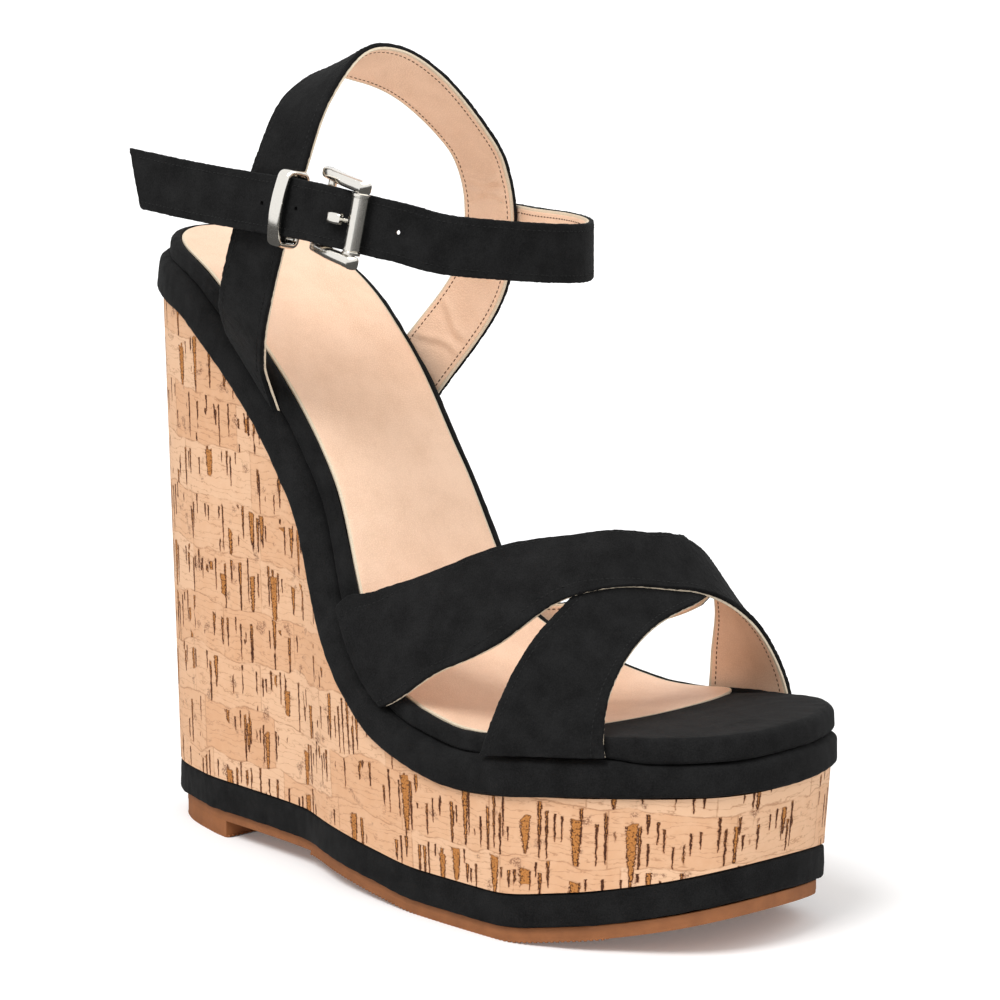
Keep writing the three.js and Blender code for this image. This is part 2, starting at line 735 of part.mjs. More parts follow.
/** The ankle strap: sewn to the loop's inner side, round the ankle, through the buckle to its tip. */
function ankleStrap() {
  const lean = ankleLean();
  const broadside = (t) => {
    const inward = -Math.sign(ankleCurve.getPointAt(t).y);
    return new THREE.Vector3(0, inward * Math.tan(radians(lean(t))), 1);
  };
  let strap = toSolid(ribbon(ankleCurve, broadside, ankleStrapWidth, strapWall, 64, 2, tailSkew));
  strap = strap.subtract(bar(outerFrame, prongStart, prongEnd, prongRadius + seatGap));
  const prongHole = ankleShare(barSetout + frameLength / 2);
  for (const place of [-1, 1, 2]) {
    const share = prongHole + (place * holeSpacing) / ankleCurve.getLength();
    const point = ankleCurve.getPointAt(share);
    const through = new THREE.Vector3().crossVectors(ankleCurve.getTangentAt(share), broadside(share));
    through.normalize();
    const ends = [-strapWall, strapWall].map((out) => point.clone().addScaledVector(through, out).toArray());
    strap = strap.subtract(bar(new THREE.Matrix4(), ends[0], ends[1], holeRadius, 10));
  }
  return toGeometry(strap);
}

/** The tab that is sewn to the loop and folded round the buckle's bar, with a slot for the prong. */
function buckleTab() {
  const outline = new THREE.Shape();
  const quarter = Math.PI / 2;
  outline.moveTo(-tabLap, tabOutside);
  outline.lineTo(barSetout, tabOutside);
  outline.absarc(barSetout, barSide, eyeInside + tabWall, -quarter, quarter, false);
  outline.lineTo(barSetout - tabReturn, barSide + eyeInside + tabWall);
  outline.lineTo(barSetout - tabReturn, barSide + eyeInside);
  outline.lineTo(barSetout, barSide + eyeInside);
  outline.absarc(barSetout, barSide, eyeInside, quarter, -quarter, true);
  outline.lineTo(-tabLap, tabInside);
  const slotReach = eyeInside + prongEyeWall + seatGap;
  const slot = new THREE.Shape();
  slot.moveTo(barSetout - slotReach, barSide - 2 * slotReach);
  slot.lineTo(barSetout + 2 * slotReach, barSide - 2 * slotReach);
  slot.lineTo(barSetout + 2 * slotReach, barSide + 2 * slotReach);
  slot.lineTo(barSetout - slotReach, barSide + 2 * slotReach);
  const tab = plate(outerFrame, outline, tabWidth);
  return toGeometry(tab.subtract(plate(outerFrame, slot, 2 * (prongRadius + seatGap))));
}

const armSide = ankleStrapWidth / 2 + hardwareGap + armWidth / 2;

/** The buckle's frame: two bars joined by an arm above and below the strap. */
function buckleFrame() {
  const arm = new THREE.Shape();
  const half = armDepth / 2;
  const tilt = Math.atan2(rollerSide - barSide, frameLength);
  const quarter = Math.PI / 2;
  arm.absarc(barSetout, barSide, half, tilt + quarter, tilt + 3 * quarter, false);
  arm.absarc(rollerSetout, rollerSide, half, tilt - quarter, tilt + quarter, false);
  const upper = plate(outerFrame, arm, armWidth, armSide, armWidth / 5);
  const lower = plate(outerFrame, arm, armWidth, -armSide, armWidth / 5);
  const rear = bar(outerFrame, [barSetout, barSide, -armSide], [barSetout, barSide, armSide], barRadius);
  const front = bar(outerFrame, [rollerSetout, rollerSide, -armSide], [rollerSetout, rollerSide, armSide], barRadius);
  return toGeometry(upper.add(lower).add(rear).add(front));
}

/** The roller that turns on the frame's front bar. */
function buckleRoller() {
  const half = armSide - armWidth / 2 - seatGap;
  const bore = barRadius + seatGap;
  const section = [
    new THREE.Vector2(bore, -half),
    new THREE.Vector2(rollerRadius, -half),
    new THREE.Vector2(rollerRadius, half),
    new THREE.Vector2(bore, half),
    new THREE.Vector2(bore, -half),
  ];
  const turned = new THREE.LatheGeometry(section, 16);
  const upright = new THREE.Matrix4().makeRotationX(Math.PI / 2).setPosition(rollerSetout, rollerSide, 0);
  return toGeometry(toSolid(turned, new THREE.Matrix4().multiplyMatrices(outerFrame, upright)));
}

/** The prong: an eye round the rear bar and a rod through the strap towards the roller. */
function buckleProng() {
  const eye = new THREE.Shape();
  eye.absarc(barSetout, barSide, eyeInside + prongEyeWall, 0, 2 * Math.PI, false);
  const bore = new THREE.Path();
  bore.absarc(barSetout, barSide, eyeInside, 0, 2 * Math.PI, true);
  eye.holes.push(bore);
  return toGeometry(plate(outerFrame, eye, 2 * prongRadius).add(bar(outerFrame, prongStart, prongEnd, prongRadius)));
}

/** The fixed loop that holds the strap's free end down on the tab. */
function strapKeeper() {
  const halfHeight = ankleStrapWidth / 2 + hardwareGap;
  const inside = { near: tailMiddle - strapWall / 2 - hardwareGap, far: tabInside + hardwareGap };
  const ring = (grow) => {
    const path = new THREE.Shape();
    const corner = grow + keeperWall / 2;
    const [low, high] = [-halfHeight - grow, halfHeight + grow];
    const [near, far] = [inside.near - grow, inside.far + grow];
    path.moveTo(near + corner, low);
    path.lineTo(far - corner, low);
    path.absarc(far - corner, low + corner, corner, -Math.PI / 2, 0, false);
    path.absarc(far - corner, high - corner, corner, 0, Math.PI / 2, false);
    path.absarc(near + corner, high - corner, corner, Math.PI / 2, Math.PI, false);
    path.absarc(near + corner, low + corner, corner, Math.PI, 1.5 * Math.PI, false);
    return path;
  };
  const outline = ring(keeperWall);
  outline.holes.push(ring(0));
  const upright = new THREE.Matrix4().makeBasis(
    new THREE.Vector3(0, 1, 0),
    new THREE.Vector3(0, 0, 1),
    new THREE.Vector3(1, 0, 0),
  );
  upright.setPosition(keeperSetout, 0, 0);
  return toGeometry(plate(new THREE.Matrix4().multiplyMatrices(outerFrame, upright), outline, keeperWidth));
}

const finish = {
  rubber: new THREE.MeshStandardMaterial({ color: 0xb07a4a, roughness: 0.7, metalness: 0 }),
  suede: new THREE.MeshStandardMaterial({ color: 0x161616, roughness: 0.95, metalness: 0 }),
  cork: new THREE.MeshStandardMaterial({ color: 0xdcb58a, roughness: 0.85, metalness: 0 }),
  leather: new THREE.MeshStandardMaterial({ color: 0xe6bd9c, roughness: 0.55, metalness: 0 }),
  metal: new THREE.MeshStandardMaterial({ color: 0xd8d4cc, roughness: 0.15, metalness: 1 }),
};

const sandal = new THREE.Group();
const addPiece = (name, geometry, material) => {
  const mesh = new THREE.Mesh(geometry, material);
  mesh.name = name;
  sandal.add(mesh);
  return mesh;
};
addPiece("outsole", outsole(), finish.rubber);
addPiece("base_band", baseBand(), finish.suede);
addPiece("cork_wedge", corkWedge(), finish.cork);
addPiece("footbed_rim", footbedRim(), finish.suede);
addPiece("footbed_pad", footbedPad(), finish.suede);
addPiece("insole_sock", insoleSock(), finish.leather);
addPiece("vamp_straps", vampStraps(), finish.suede);
addPiece("heel_loop", heelLoop(), finish.suede);
addPiece("ankle_strap", ankleStrap(), finish.suede);
addPiece("buckle_tab", buckleTab(), finish.suede);
addPiece("buckle_frame", buckleFrame(), finish.metal);
addPiece("buckle_roller", buckleRoller(), finish.metal);
addPiece("buckle_prong", buckleProng(), finish.metal);
addPiece("strap_keeper", strapKeeper(), finish.metal);
sandal.position.x = -(wedgeHeelEnd + outsoleInset + treadInset + heelBlockLength / 2);

export default sandal;
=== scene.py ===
"""A strappy cork wedge sandal: suede, leather, cork, rubber and metal over its packed solids."""

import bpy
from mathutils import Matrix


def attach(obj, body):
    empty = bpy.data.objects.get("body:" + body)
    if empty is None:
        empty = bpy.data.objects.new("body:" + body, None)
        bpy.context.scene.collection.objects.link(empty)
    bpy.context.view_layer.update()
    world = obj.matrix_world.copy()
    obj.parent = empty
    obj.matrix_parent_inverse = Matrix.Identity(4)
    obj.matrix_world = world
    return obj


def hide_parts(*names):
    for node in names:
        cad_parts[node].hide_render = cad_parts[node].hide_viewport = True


bl_info = {
    "name": "Platform Wedge Sandal",
    "version": (1, 0, 0),
    "blender": (4, 5, 0),
    "location": "View3D > Sidebar > Sandal",
    "description": "Dresses the solids of a cork wedge sandal in suede, leather, cork, rubber and metal",
    "category": "Add Mesh",
}

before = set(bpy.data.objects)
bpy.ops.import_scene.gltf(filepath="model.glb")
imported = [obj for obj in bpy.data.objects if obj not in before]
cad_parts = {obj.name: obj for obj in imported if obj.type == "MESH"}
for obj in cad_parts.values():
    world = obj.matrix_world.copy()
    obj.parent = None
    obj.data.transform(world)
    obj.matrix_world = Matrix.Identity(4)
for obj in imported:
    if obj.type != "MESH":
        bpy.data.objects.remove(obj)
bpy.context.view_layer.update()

import math

import bmesh
import bpy
import numpy as np
from mathutils import Vector, noise

MM = 0.001
OUTER = -1
INNER = 1

# Points along each edge of a padded outline
PADDED_POINTS = 460
# Starts and spans, in shares of the footbed, of the cushion's widening at the toes and its swell over the rim
TOE_CUSHION = (0.83, 0.06)
TOE_SWELL = (0.885, 0.055)
# Parts of the sole that the front tread and its teeth cover, in shares from the heel
TREAD = (0.4, 1.0)
TEETH = (0.4, 0.9)
# Slope of the ankle strap's straight run through the buckle
BUCKLE_FALL = -0.045
# The ankle strap's other holes, in hole spacings from the one that the prong is in
OPEN_HOLES = (-1.5, 1, 2)
# Mean width of a vamp strap, for the borders and seams that follow its edges
VAMP_WIDTH = 0.022

# Half widths of the footbed's edge along its length, as shares of half the ball width
FOOTBED = {
    "along": (0, 0.03, 0.06, 0.105, 0.16, 0.25, 0.4, 0.55, 0.675, 0.79, 0.86, 0.912, 0.955, 0.985, 1),
    "outer": (0, 0.33, 0.43, 0.51, 0.57, 0.61, 0.68, 0.85, 0.98, 1.01, 0.88, 0.69, 0.51, 0.32, 0),
    "inner": (0, 0.46, 0.6, 0.68, 0.685, 0.63, 0.5, 0.53, 0.9, 0.98, 0.99, 0.975, 0.86, 0.53, 0),
}
# Side profile: share of the footbed's length, share of the rise from ball to heel
PROFILE = {
    "along": (0, 0.146, 0.283, 0.401, 0.518, 0.655, 0.812, 1),
    "rise": (1.045, 0.965, 0.77, 0.51, 0.115, 0, 0.02, 0.047),
}
# Underside between the sole's ends, as shares of the lifts at heel, arch and toe
UNDERSIDE = {
    "along": (0, 0.25, 0.4, 0.52, 0.62, 0.74, 0.85, 0.93, 1),
    "heel": (1, 0, 0, 0, 0, 0, 0, 0, 0),
    "arch": (0, 1, 0.95, 0.45, 0, 0, 0, 0, 0),
    "toe": (0, 0, 0, 0, 0, 0, 0.25, 0.58, 1),
}
# Crown of the vamp: share of the footbed's length, share of the instep height
CROWN = {
    "along": (0.381, 0.509, 0.64, 0.754, 0.842, 0.935),
    "rise": (0.72, 0.87, 0.99, 0.88, 0.53, 0.44),
}
SOCK_CUT = {"outer": 0.805, "inner": 0.815, "middle": 0.866}
# Edges of the vamp straps: share of the girth, shares of the footbed's length, share of the crossing lift
OVER_STRAP = {
    "girth": (0, 0.1, 0.2, 0.3, 0.4, 0.5, 0.6, 0.7, 0.8, 0.9, 1),
    "rear": (0.476, 0.484, 0.524, 0.643, 0.738, 0.772, 0.776, 0.767, 0.75, 0.727, 0.717),
    "front": (0.566, 0.624, 0.727, 0.776, 0.804, 0.824, 0.835, 0.842, 0.844, 0.847, 0.849),
    "lift": (0, 0.2, 0.9, 1.65, 1.6, 1.35, 1.1, 0.7, 0.2, 0, 0),
}
UNDER_STRAP = {
    "girth": (0, 0.1, 0.2, 0.3, 0.4, 0.5, 0.6, 0.7, 0.8, 0.9, 1),
    "rear": (0.731, 0.747, 0.76, 0.772, 0.776, 0.772, 0.757, 0.709, 0.618, 0.528, 0.479),
    "front": (0.88, 0.873, 0.862, 0.851, 0.84, 0.831, 0.814, 0.786, 0.731, 0.613, 0.565),
    "lift": (0, 0, 0, 0, 0, 0, 0, 0, 0, 0, 0),
}
# Heel loop from outer to inner foot: shares of its lean, half span and height, pitch in degrees
LOOP_FOOT = {"outer": 0.241, "inner": 0.285, "pitch": -44, "flare": 0.0085, "flare_end": 0.055}
LOOP = {
    "lean": (0.48, 0.78, 0.92, 0.94, 0.95, 0.98, 1.02, 1.05, 1.03, 1.0, 0.78),
    "side": (-0.97, -1, -0.89, -0.71, -0.4, -0.15, 0.15, 0.49, 0.66, 0.76, 0.81),
    "rise": (0.157, 0.43, 0.69, 0.88, 0.995, 0.98, 0.895, 0.725, 0.61, 0.44, 0.176),
    "pitch": (-25, -12, 0, 9, 24, 30, 22, 9, 3, -6, -22),
}
# Ankle strap round the front: shares of its reach, half span and drop, tilt in degrees
ANKLE = {
    "reach": (0.48, 0.66, 0.794, 0.905, 0.983, 0.994, 0.94, 0.85, 0.772),
    "side": (0.8, 0.7, 0.56, 0.37, 0.14, -0.12, -0.44, -0.73, -0.895),
    "drop": (0.85, 0.81, 0.77, 0.72, 0.66, 0.58, 0.47, 0.34, 0.16),
    "lean": (10, 3, 0, 0, 0, 1, 4, 8, 12),
    "start": 0.88,
}
# Folds that wearing and sewing leave in the lining: share along the strap, depth and width in metres
LOOP_FOLDS = {
    "share": (0.065, 0.085, 0.725, 0.738, 0.752, 0.92, 0.955),
    "depth": (0.0004, 0.0003, 0.0004, 0.0006, 0.0005, 0.0005, 0.0004),
    "width": (0.0016, 0.0012, 0.0009, 0.0011, 0.0010, 0.0015, 0.0012),
}


def length(label, description, default):
    """A size in metres for the sidebar."""
    return bpy.props.FloatProperty(
        name=label, description=description, default=default, unit="LENGTH", subtype="DISTANCE", precision=5
    )


def paint(label, description, default):
    """A colour for the sidebar."""
    return bpy.props.FloatVectorProperty(
        name=label, description=description, default=default, subtype="COLOR", min=0, max=1
    )


def factor(label, description, default):
    """A plain number for the sidebar."""
    return bpy.props.FloatProperty(name=label, description=description, default=default)


def bearing(label, description, degrees):
    """An angle for the sidebar."""
    return bpy.props.FloatProperty(
        name=label, description=description, default=math.radians(degrees), subtype="ANGLE"
    )


class FootbedSizes(bpy.types.PropertyGroup):
    """Sizes of the footbed and of the platform under it."""

    length: length("Length", "Length of the footbed on the floor", 0.2215)
    ball_width: length("Ball width", "Width of the footbed at the ball", 0.076)
    ball_height: length("Ball height", "Height of the footbed at the ball", 0.053)
    heel_height: length("Heel height", "Height of the footbed at the heel", 0.1575)
    gap: length("Gap", "Space between pieces that lie on each other", 0.0003)
    sock: length("Sock", "Thickness of the leather sock", 0.001)
    pad: length("Pad", "Thickness of the cushion under the foot", 0.004)
    pad_overhang: length("Pad overhang", "How far the cushion reaches past the sock", 0.0028)
    pad_rounding: length("Pad rounding", "Radius of the cushion's upper edge", 0.0018)
    toe_swell: length("Toe swell", "How much further the cushion reaches at the toe", 0.0018)
    toe_drop: length("Toe drop", "How much thicker the cushion is at the toe", 0.0014)
    bead: length("Bead", "How far the cushion swells up round the sock", 0.0011)
    rim: length("Rim", "Thickness of the padded rim", 0.0098)
    rim_overhang: length("Rim overhang", "How far the rim reaches past the sock", 0.0052)
    rim_rounding: length("Rim rounding", "Radius of the rim's edges", 0.0026)
    cork_inset: length("Cork inset", "How far the cork's top lies inside the rim", 0.0018)
    heel_rake: length("Heel rake", "How far the wedge's heel slopes in towards the floor", 0.0069)
    toe_rake: length("Toe rake", "How far the wedge's toe slopes in towards the floor", 0.0039)
    side_taper: length("Side taper", "How far the wedge's sides slope in towards the floor", 0.0022)
    band: length("Band", "Height of the covered band under the cork", 0.0086)


class SoleSizes(bpy.types.PropertyGroup):
    """Sizes of the rubber sole."""

    thickness: length("Thickness", "Thickness of the rubber sheet", 0.0028)
    inset: length("Inset", "How far the rubber lies inside the band", 0.0018)
    tread: length("Tread", "Height of the tread under the sheet", 0.0009)
    tread_inset: length("Tread inset", "How far the tread lies inside the sheet", 0.0001)
    block_length: length("Heel block", "Length of the heel block", 0.035)
    block_lift: length("Heel lift", "Height of the sheet over the floor at the heel", 0.003)
    arch_lift: length("Arch lift", "Height of the sheet over the floor at the arch", 0.0038)
    toe_spring: length("Toe spring", "Height of the sheet over the floor at the toe", 0.0108)
    tooth_pitch: length("Tooth pitch", "Distance between the teeth of the tread's edge", 0.0015)


class StrapSizes(bpy.types.PropertyGroup):
    """Sizes of the straps and of their seams."""

    wall: length("Wall", "Thickness of a strap", 0.002)
    suede: length("Suede", "Thickness of the suede on a strap", 0.00125)
    clearance: length("Clearance", "Space between a strap's foot and the cushion", 0.0008)
    crossing: length("Crossing lift", "How far the upper vamp strap lies over the lower one", 0.0017)
    instep_height: length("Instep height", "Height of the vamp's crown over the ball", 0.052)
    instep_side: length("Instep side", "Place of the vamp's crown towards the inner side", 0.01)
    loop_width: length("Loop width", "Width of the heel loop", 0.019)
    loop_height: length("Loop height", "Height of the heel loop", 0.0765)
    loop_half_span: length("Loop half span", "Half the distance between the loop's sides", 0.043)
    loop_lean: length("Loop lean", "How far the loop leans forwards", 0.0275)
    loop_tuck: length("Loop tuck", "How deep the loop's inner foot is tucked behind the cushion", 0.003)
    ankle_width: length("Ankle strap width", "Width of the ankle strap", 0.015)
    ankle_reach: length("Ankle reach", "How far the ankle strap reaches forwards of the loop's feet", 0.091)
    ankle_height: length("Ankle height", "Height of the buckle over the floor", 0.178)
    ankle_drop: length("Ankle drop", "How much lower the strap's inner end lies", 0.015)
    ankle_rise: length("Ankle rise", "How far the ankle strap is drawn up at the buckle", 0.0012)
    tail: length("Tail", "Length of the strap behind the loop", 0.0465)
    tail_skew: length("Tail skew", "How far the tail's tip is cut on the slant", 0.0085)
    hole: length("Hole radius", "Radius of the strap's holes", 0.0006)
    hole_spacing: length("Hole spacing", "Distance between the strap's holes", 0.0127)
    border: length("Border", "Width of the cut edge that shows beside the lining", 0.0008)
    seam_inset: length("Seam inset", "Distance from a strap's edge to its seam", 0.0019)
    stitch_pitch: length("Stitch pitch", "Distance from one stitch to the next", 0.00145)
    stitch_length: length("Stitch length", "Length of one stitch", 0.00105)
    thread: length("Thread", "Thickness of the sewing thread", 0.0004)


class BuckleSizes(bpy.types.PropertyGroup):
    """Sizes of the buckle, its tab and the keeper."""

    tab_wall: length("Tab wall", "Thickness of the tab", 0.0016)
    tab_width: length("Tab width", "Width of the tab", 0.014)
    tab_lap: length("Tab lap", "Length of the tab behind the loop's middle", 0.007)
    tab_return: length("Tab return", "Length of the tab's folded end", 0.006)
    bar_setout: length("Bar setout", "Distance from the loop's middle to the rear bar", 0.022)
    bar_radius: length("Bar radius", "Radius of the bars", 0.0011)
    frame_length: length("Frame length", "Distance between the bars", 0.0165)
    arm_width: length("Arm width", "Width of an arm", 0.0032)
    arm_depth: length("Arm depth", "Depth of an arm", 0.0034)
    roller_wall: length("Roller wall", "Wall of the roller", 0.0005)
    roller_dip: length("Roller dip", "How far the strap dips under the roller", 0.0027)
    prong_radius: length("Prong radius", "Radius of the prong", 0.0009)
    eye_wall: length("Eye wall", "Wall of the prong's eye", 0.0011)
    prong_hole: length("Prong hole", "Distance from the loop's middle to the prong's hole", 0.0285)
    prong_length: length("Prong length", "Reach of the prong from the rear bar", 0.0134)
    gap: length("Gap", "Space between strap and metal", 0.0004)
    lifted: length("Lifted", "How far the front bar sits over the strap's straight line", 0.0004)
    slope: factor("Slope", "Rise of the arms towards the rear bar for each metre of their length", 0.088)
    keeper_setout: length("Keeper setout", "Distance from the loop's middle to the keeper", 0.0111)
    keeper_width: length("Keeper width", "Width of the keeper", 0.0042)
    keeper_raise: length("Keeper raise", "How far the keeper sits over the strap's middle", 0.0006)
    keeper_wall: length("Keeper wall", "Wall of the keeper", 0.0018)


class FinishColours(bpy.types.PropertyGroup):
    """Colours of the sandal's materials."""

    suede: paint("Suede", "Colour of the suede", (0.0055, 0.0055, 0.0056))
    lining: paint("Lining", "Colour of lining and sock", (0.86, 0.61, 0.445))
    cut_edge: paint("Cut edge", "Colour of the leather's cut edges", (0.78, 0.66, 0.5))
    cork: paint("Cork", "Colour of the palest cork", (0.73, 0.465, 0.295))
    bark: paint("Bark", "Colour of the bark in the cork's slots", (0.06, 0.019, 0.009))
    rubber: paint("Rubber", "Colour of the sole", (0.35, 0.13, 0.045))
    metal: paint("Metal", "Colour of buckle and keeper", (0.86, 0.83, 0.77))
    thread: paint("Thread", "Colour of the thread on the lining", (0.13, 0.055, 0.028))
    dark_thread: paint("Dark thread", "Colour of the thread on the suede", (0.009, 0.009, 0.009))
    rust: paint("Rust", "Colour of the grain in the cork's wide slots", (0.47, 0.19, 0.05))
    fringe: paint("Fringe", "Colour of the cork beside its slots", (0.4, 0.15, 0.055))


class StageSettings(bpy.types.PropertyGroup):
    """The camera's and the lamps' settings."""

    distance: length("Camera distance", "Distance from the camera to what it looks at", 1.31)
    azimuth: bearing("Azimuth", "Turn of the camera round the sandal", 46.556)
    elevation: bearing("Elevation", "Height of the camera over the level", 10.964)
    lens: factor("Lens", "Focal length in millimetres", 191.53)
    target: bpy.props.FloatVectorProperty(
        name="Target",
        description="Point that the camera looks at",
        default=(0.147704, -0.044087, 0.114159),
        unit="LENGTH",
    )
    key: factor("Key lamp", "Strength of the lamp from the front", 2.15)
    fill: factor("Fill lamp", "Strength of the wide lamp from above", 1.1)
    sky: factor("Surround", "Strength of the pale surround", 0.45)


def column(table, key, start="along"):
    """A monotone cubic through one column of a table, as a function of another column."""
    at = np.array(table[start], float)
    value = np.array(table[key], float)
    span = np.diff(at)
    slope = np.diff(value) / span
    tangent = np.zeros(len(at))
    for end, near, far in ((0, 0, 1), (-1, -1, -2)):
        both = span[near] + span[far]
        steep = ((span[near] + both) * slope[near] - span[near] * slope[far]) / both
        tangent[end] = steep if steep * slope[near] > 0 else 0
    for i in range(1, len(at) - 1):
        if slope[i - 1] * slope[i] > 0:
            tangent[i] = 2 / (1 / slope[i - 1] + 1 / slope[i])

    def read(where):
        x = np.clip(where, at[0], at[-1])
        i = np.clip(np.searchsorted(at, x) - 1, 0, len(span) - 1)
        t = (x - at[i]) / span[i]
        rise = tangent[i] * span[i]
        fall = tangent[i + 1] * span[i]
        change = value[i + 1] - value[i]
        return value[i] + t * (rise + t * (3 * change - 2 * rise - fall + t * (rise + fall - 2 * change)))

    return read


def crowded(count):
    """Shares from 0 to 1, closer together at both ends."""
    return 0.5 - 0.5 * np.cos(np.linspace(0, np.pi, count))


def eased(value, start, span):
    """Rises softly from 0 at the start to 1 at the end of a span."""
    part = np.clip((value - start) / span, 0, 1)
    return part * part * (3 - 2 * part)


def unit(vectors):
    """Vectors scaled to length one."""
    return vectors / np.linalg.norm(vectors, axis=-1, keepdims=True)


class Path:
    """A smooth curve through points, read by the share of its length."""

    steps = 60

    def __init__(self, points, even=False):
        points = np.array(points, float)
        count = len(points) - 1
        if even:
            padded = np.vstack([points[:1], points, points[-1:]])
        else:
            padded = np.vstack([2 * points[0] - points[1], points, 2 * points[-1] - points[-2]])
        pieces = []
        t = np.arange(self.steps)[:, None] / self.steps
        for i in range(count):
            a, b, c, d = padded[i : i + 4]
            if even:
                start, end = (c - a) / 2, (d - b) / 2
            else:
                before, here, after = (np.sqrt(np.linalg.norm(q - p)) for p, q in ((a, b), (b, c), (c, d)))
                start = ((b - a) / before - (c - a) / (before + here) + (c - b) / here) * here
                end = ((c - b) / here - (d - b) / (here + after) + (d - c) / after) * here
            pieces.append(
                b + start * t + (3 * (c - b) - 2 * start - end) * t**2 + (2 * (b - c) + start + end) * t**3
            )
        self.points = np.vstack([*pieces, points[-1:]])
        steps = np.linalg.norm(np.diff(self.points, axis=0), axis=1)
        self.run = np.concatenate([[0], np.cumsum(steps)])
        self.length = self.run[-1]
        self.share = self.run / self.length
        self.knots = self.share[:: self.steps]

    def at(self, share):
        """Points at shares of the length."""
        share = np.clip(share, 0, 1)
        return np.stack([np.interp(share, self.share, self.points[:, k]) for k in range(3)], -1)

    def along(self, share):
        """Directions at shares of the length."""
        near = 0.004
        share = np.asarray(share)
        low = np.clip(share - near, 0, 1 - near)
        high = np.clip(share + near, near, 1)
        return unit(self.at(high) - self.at(low))


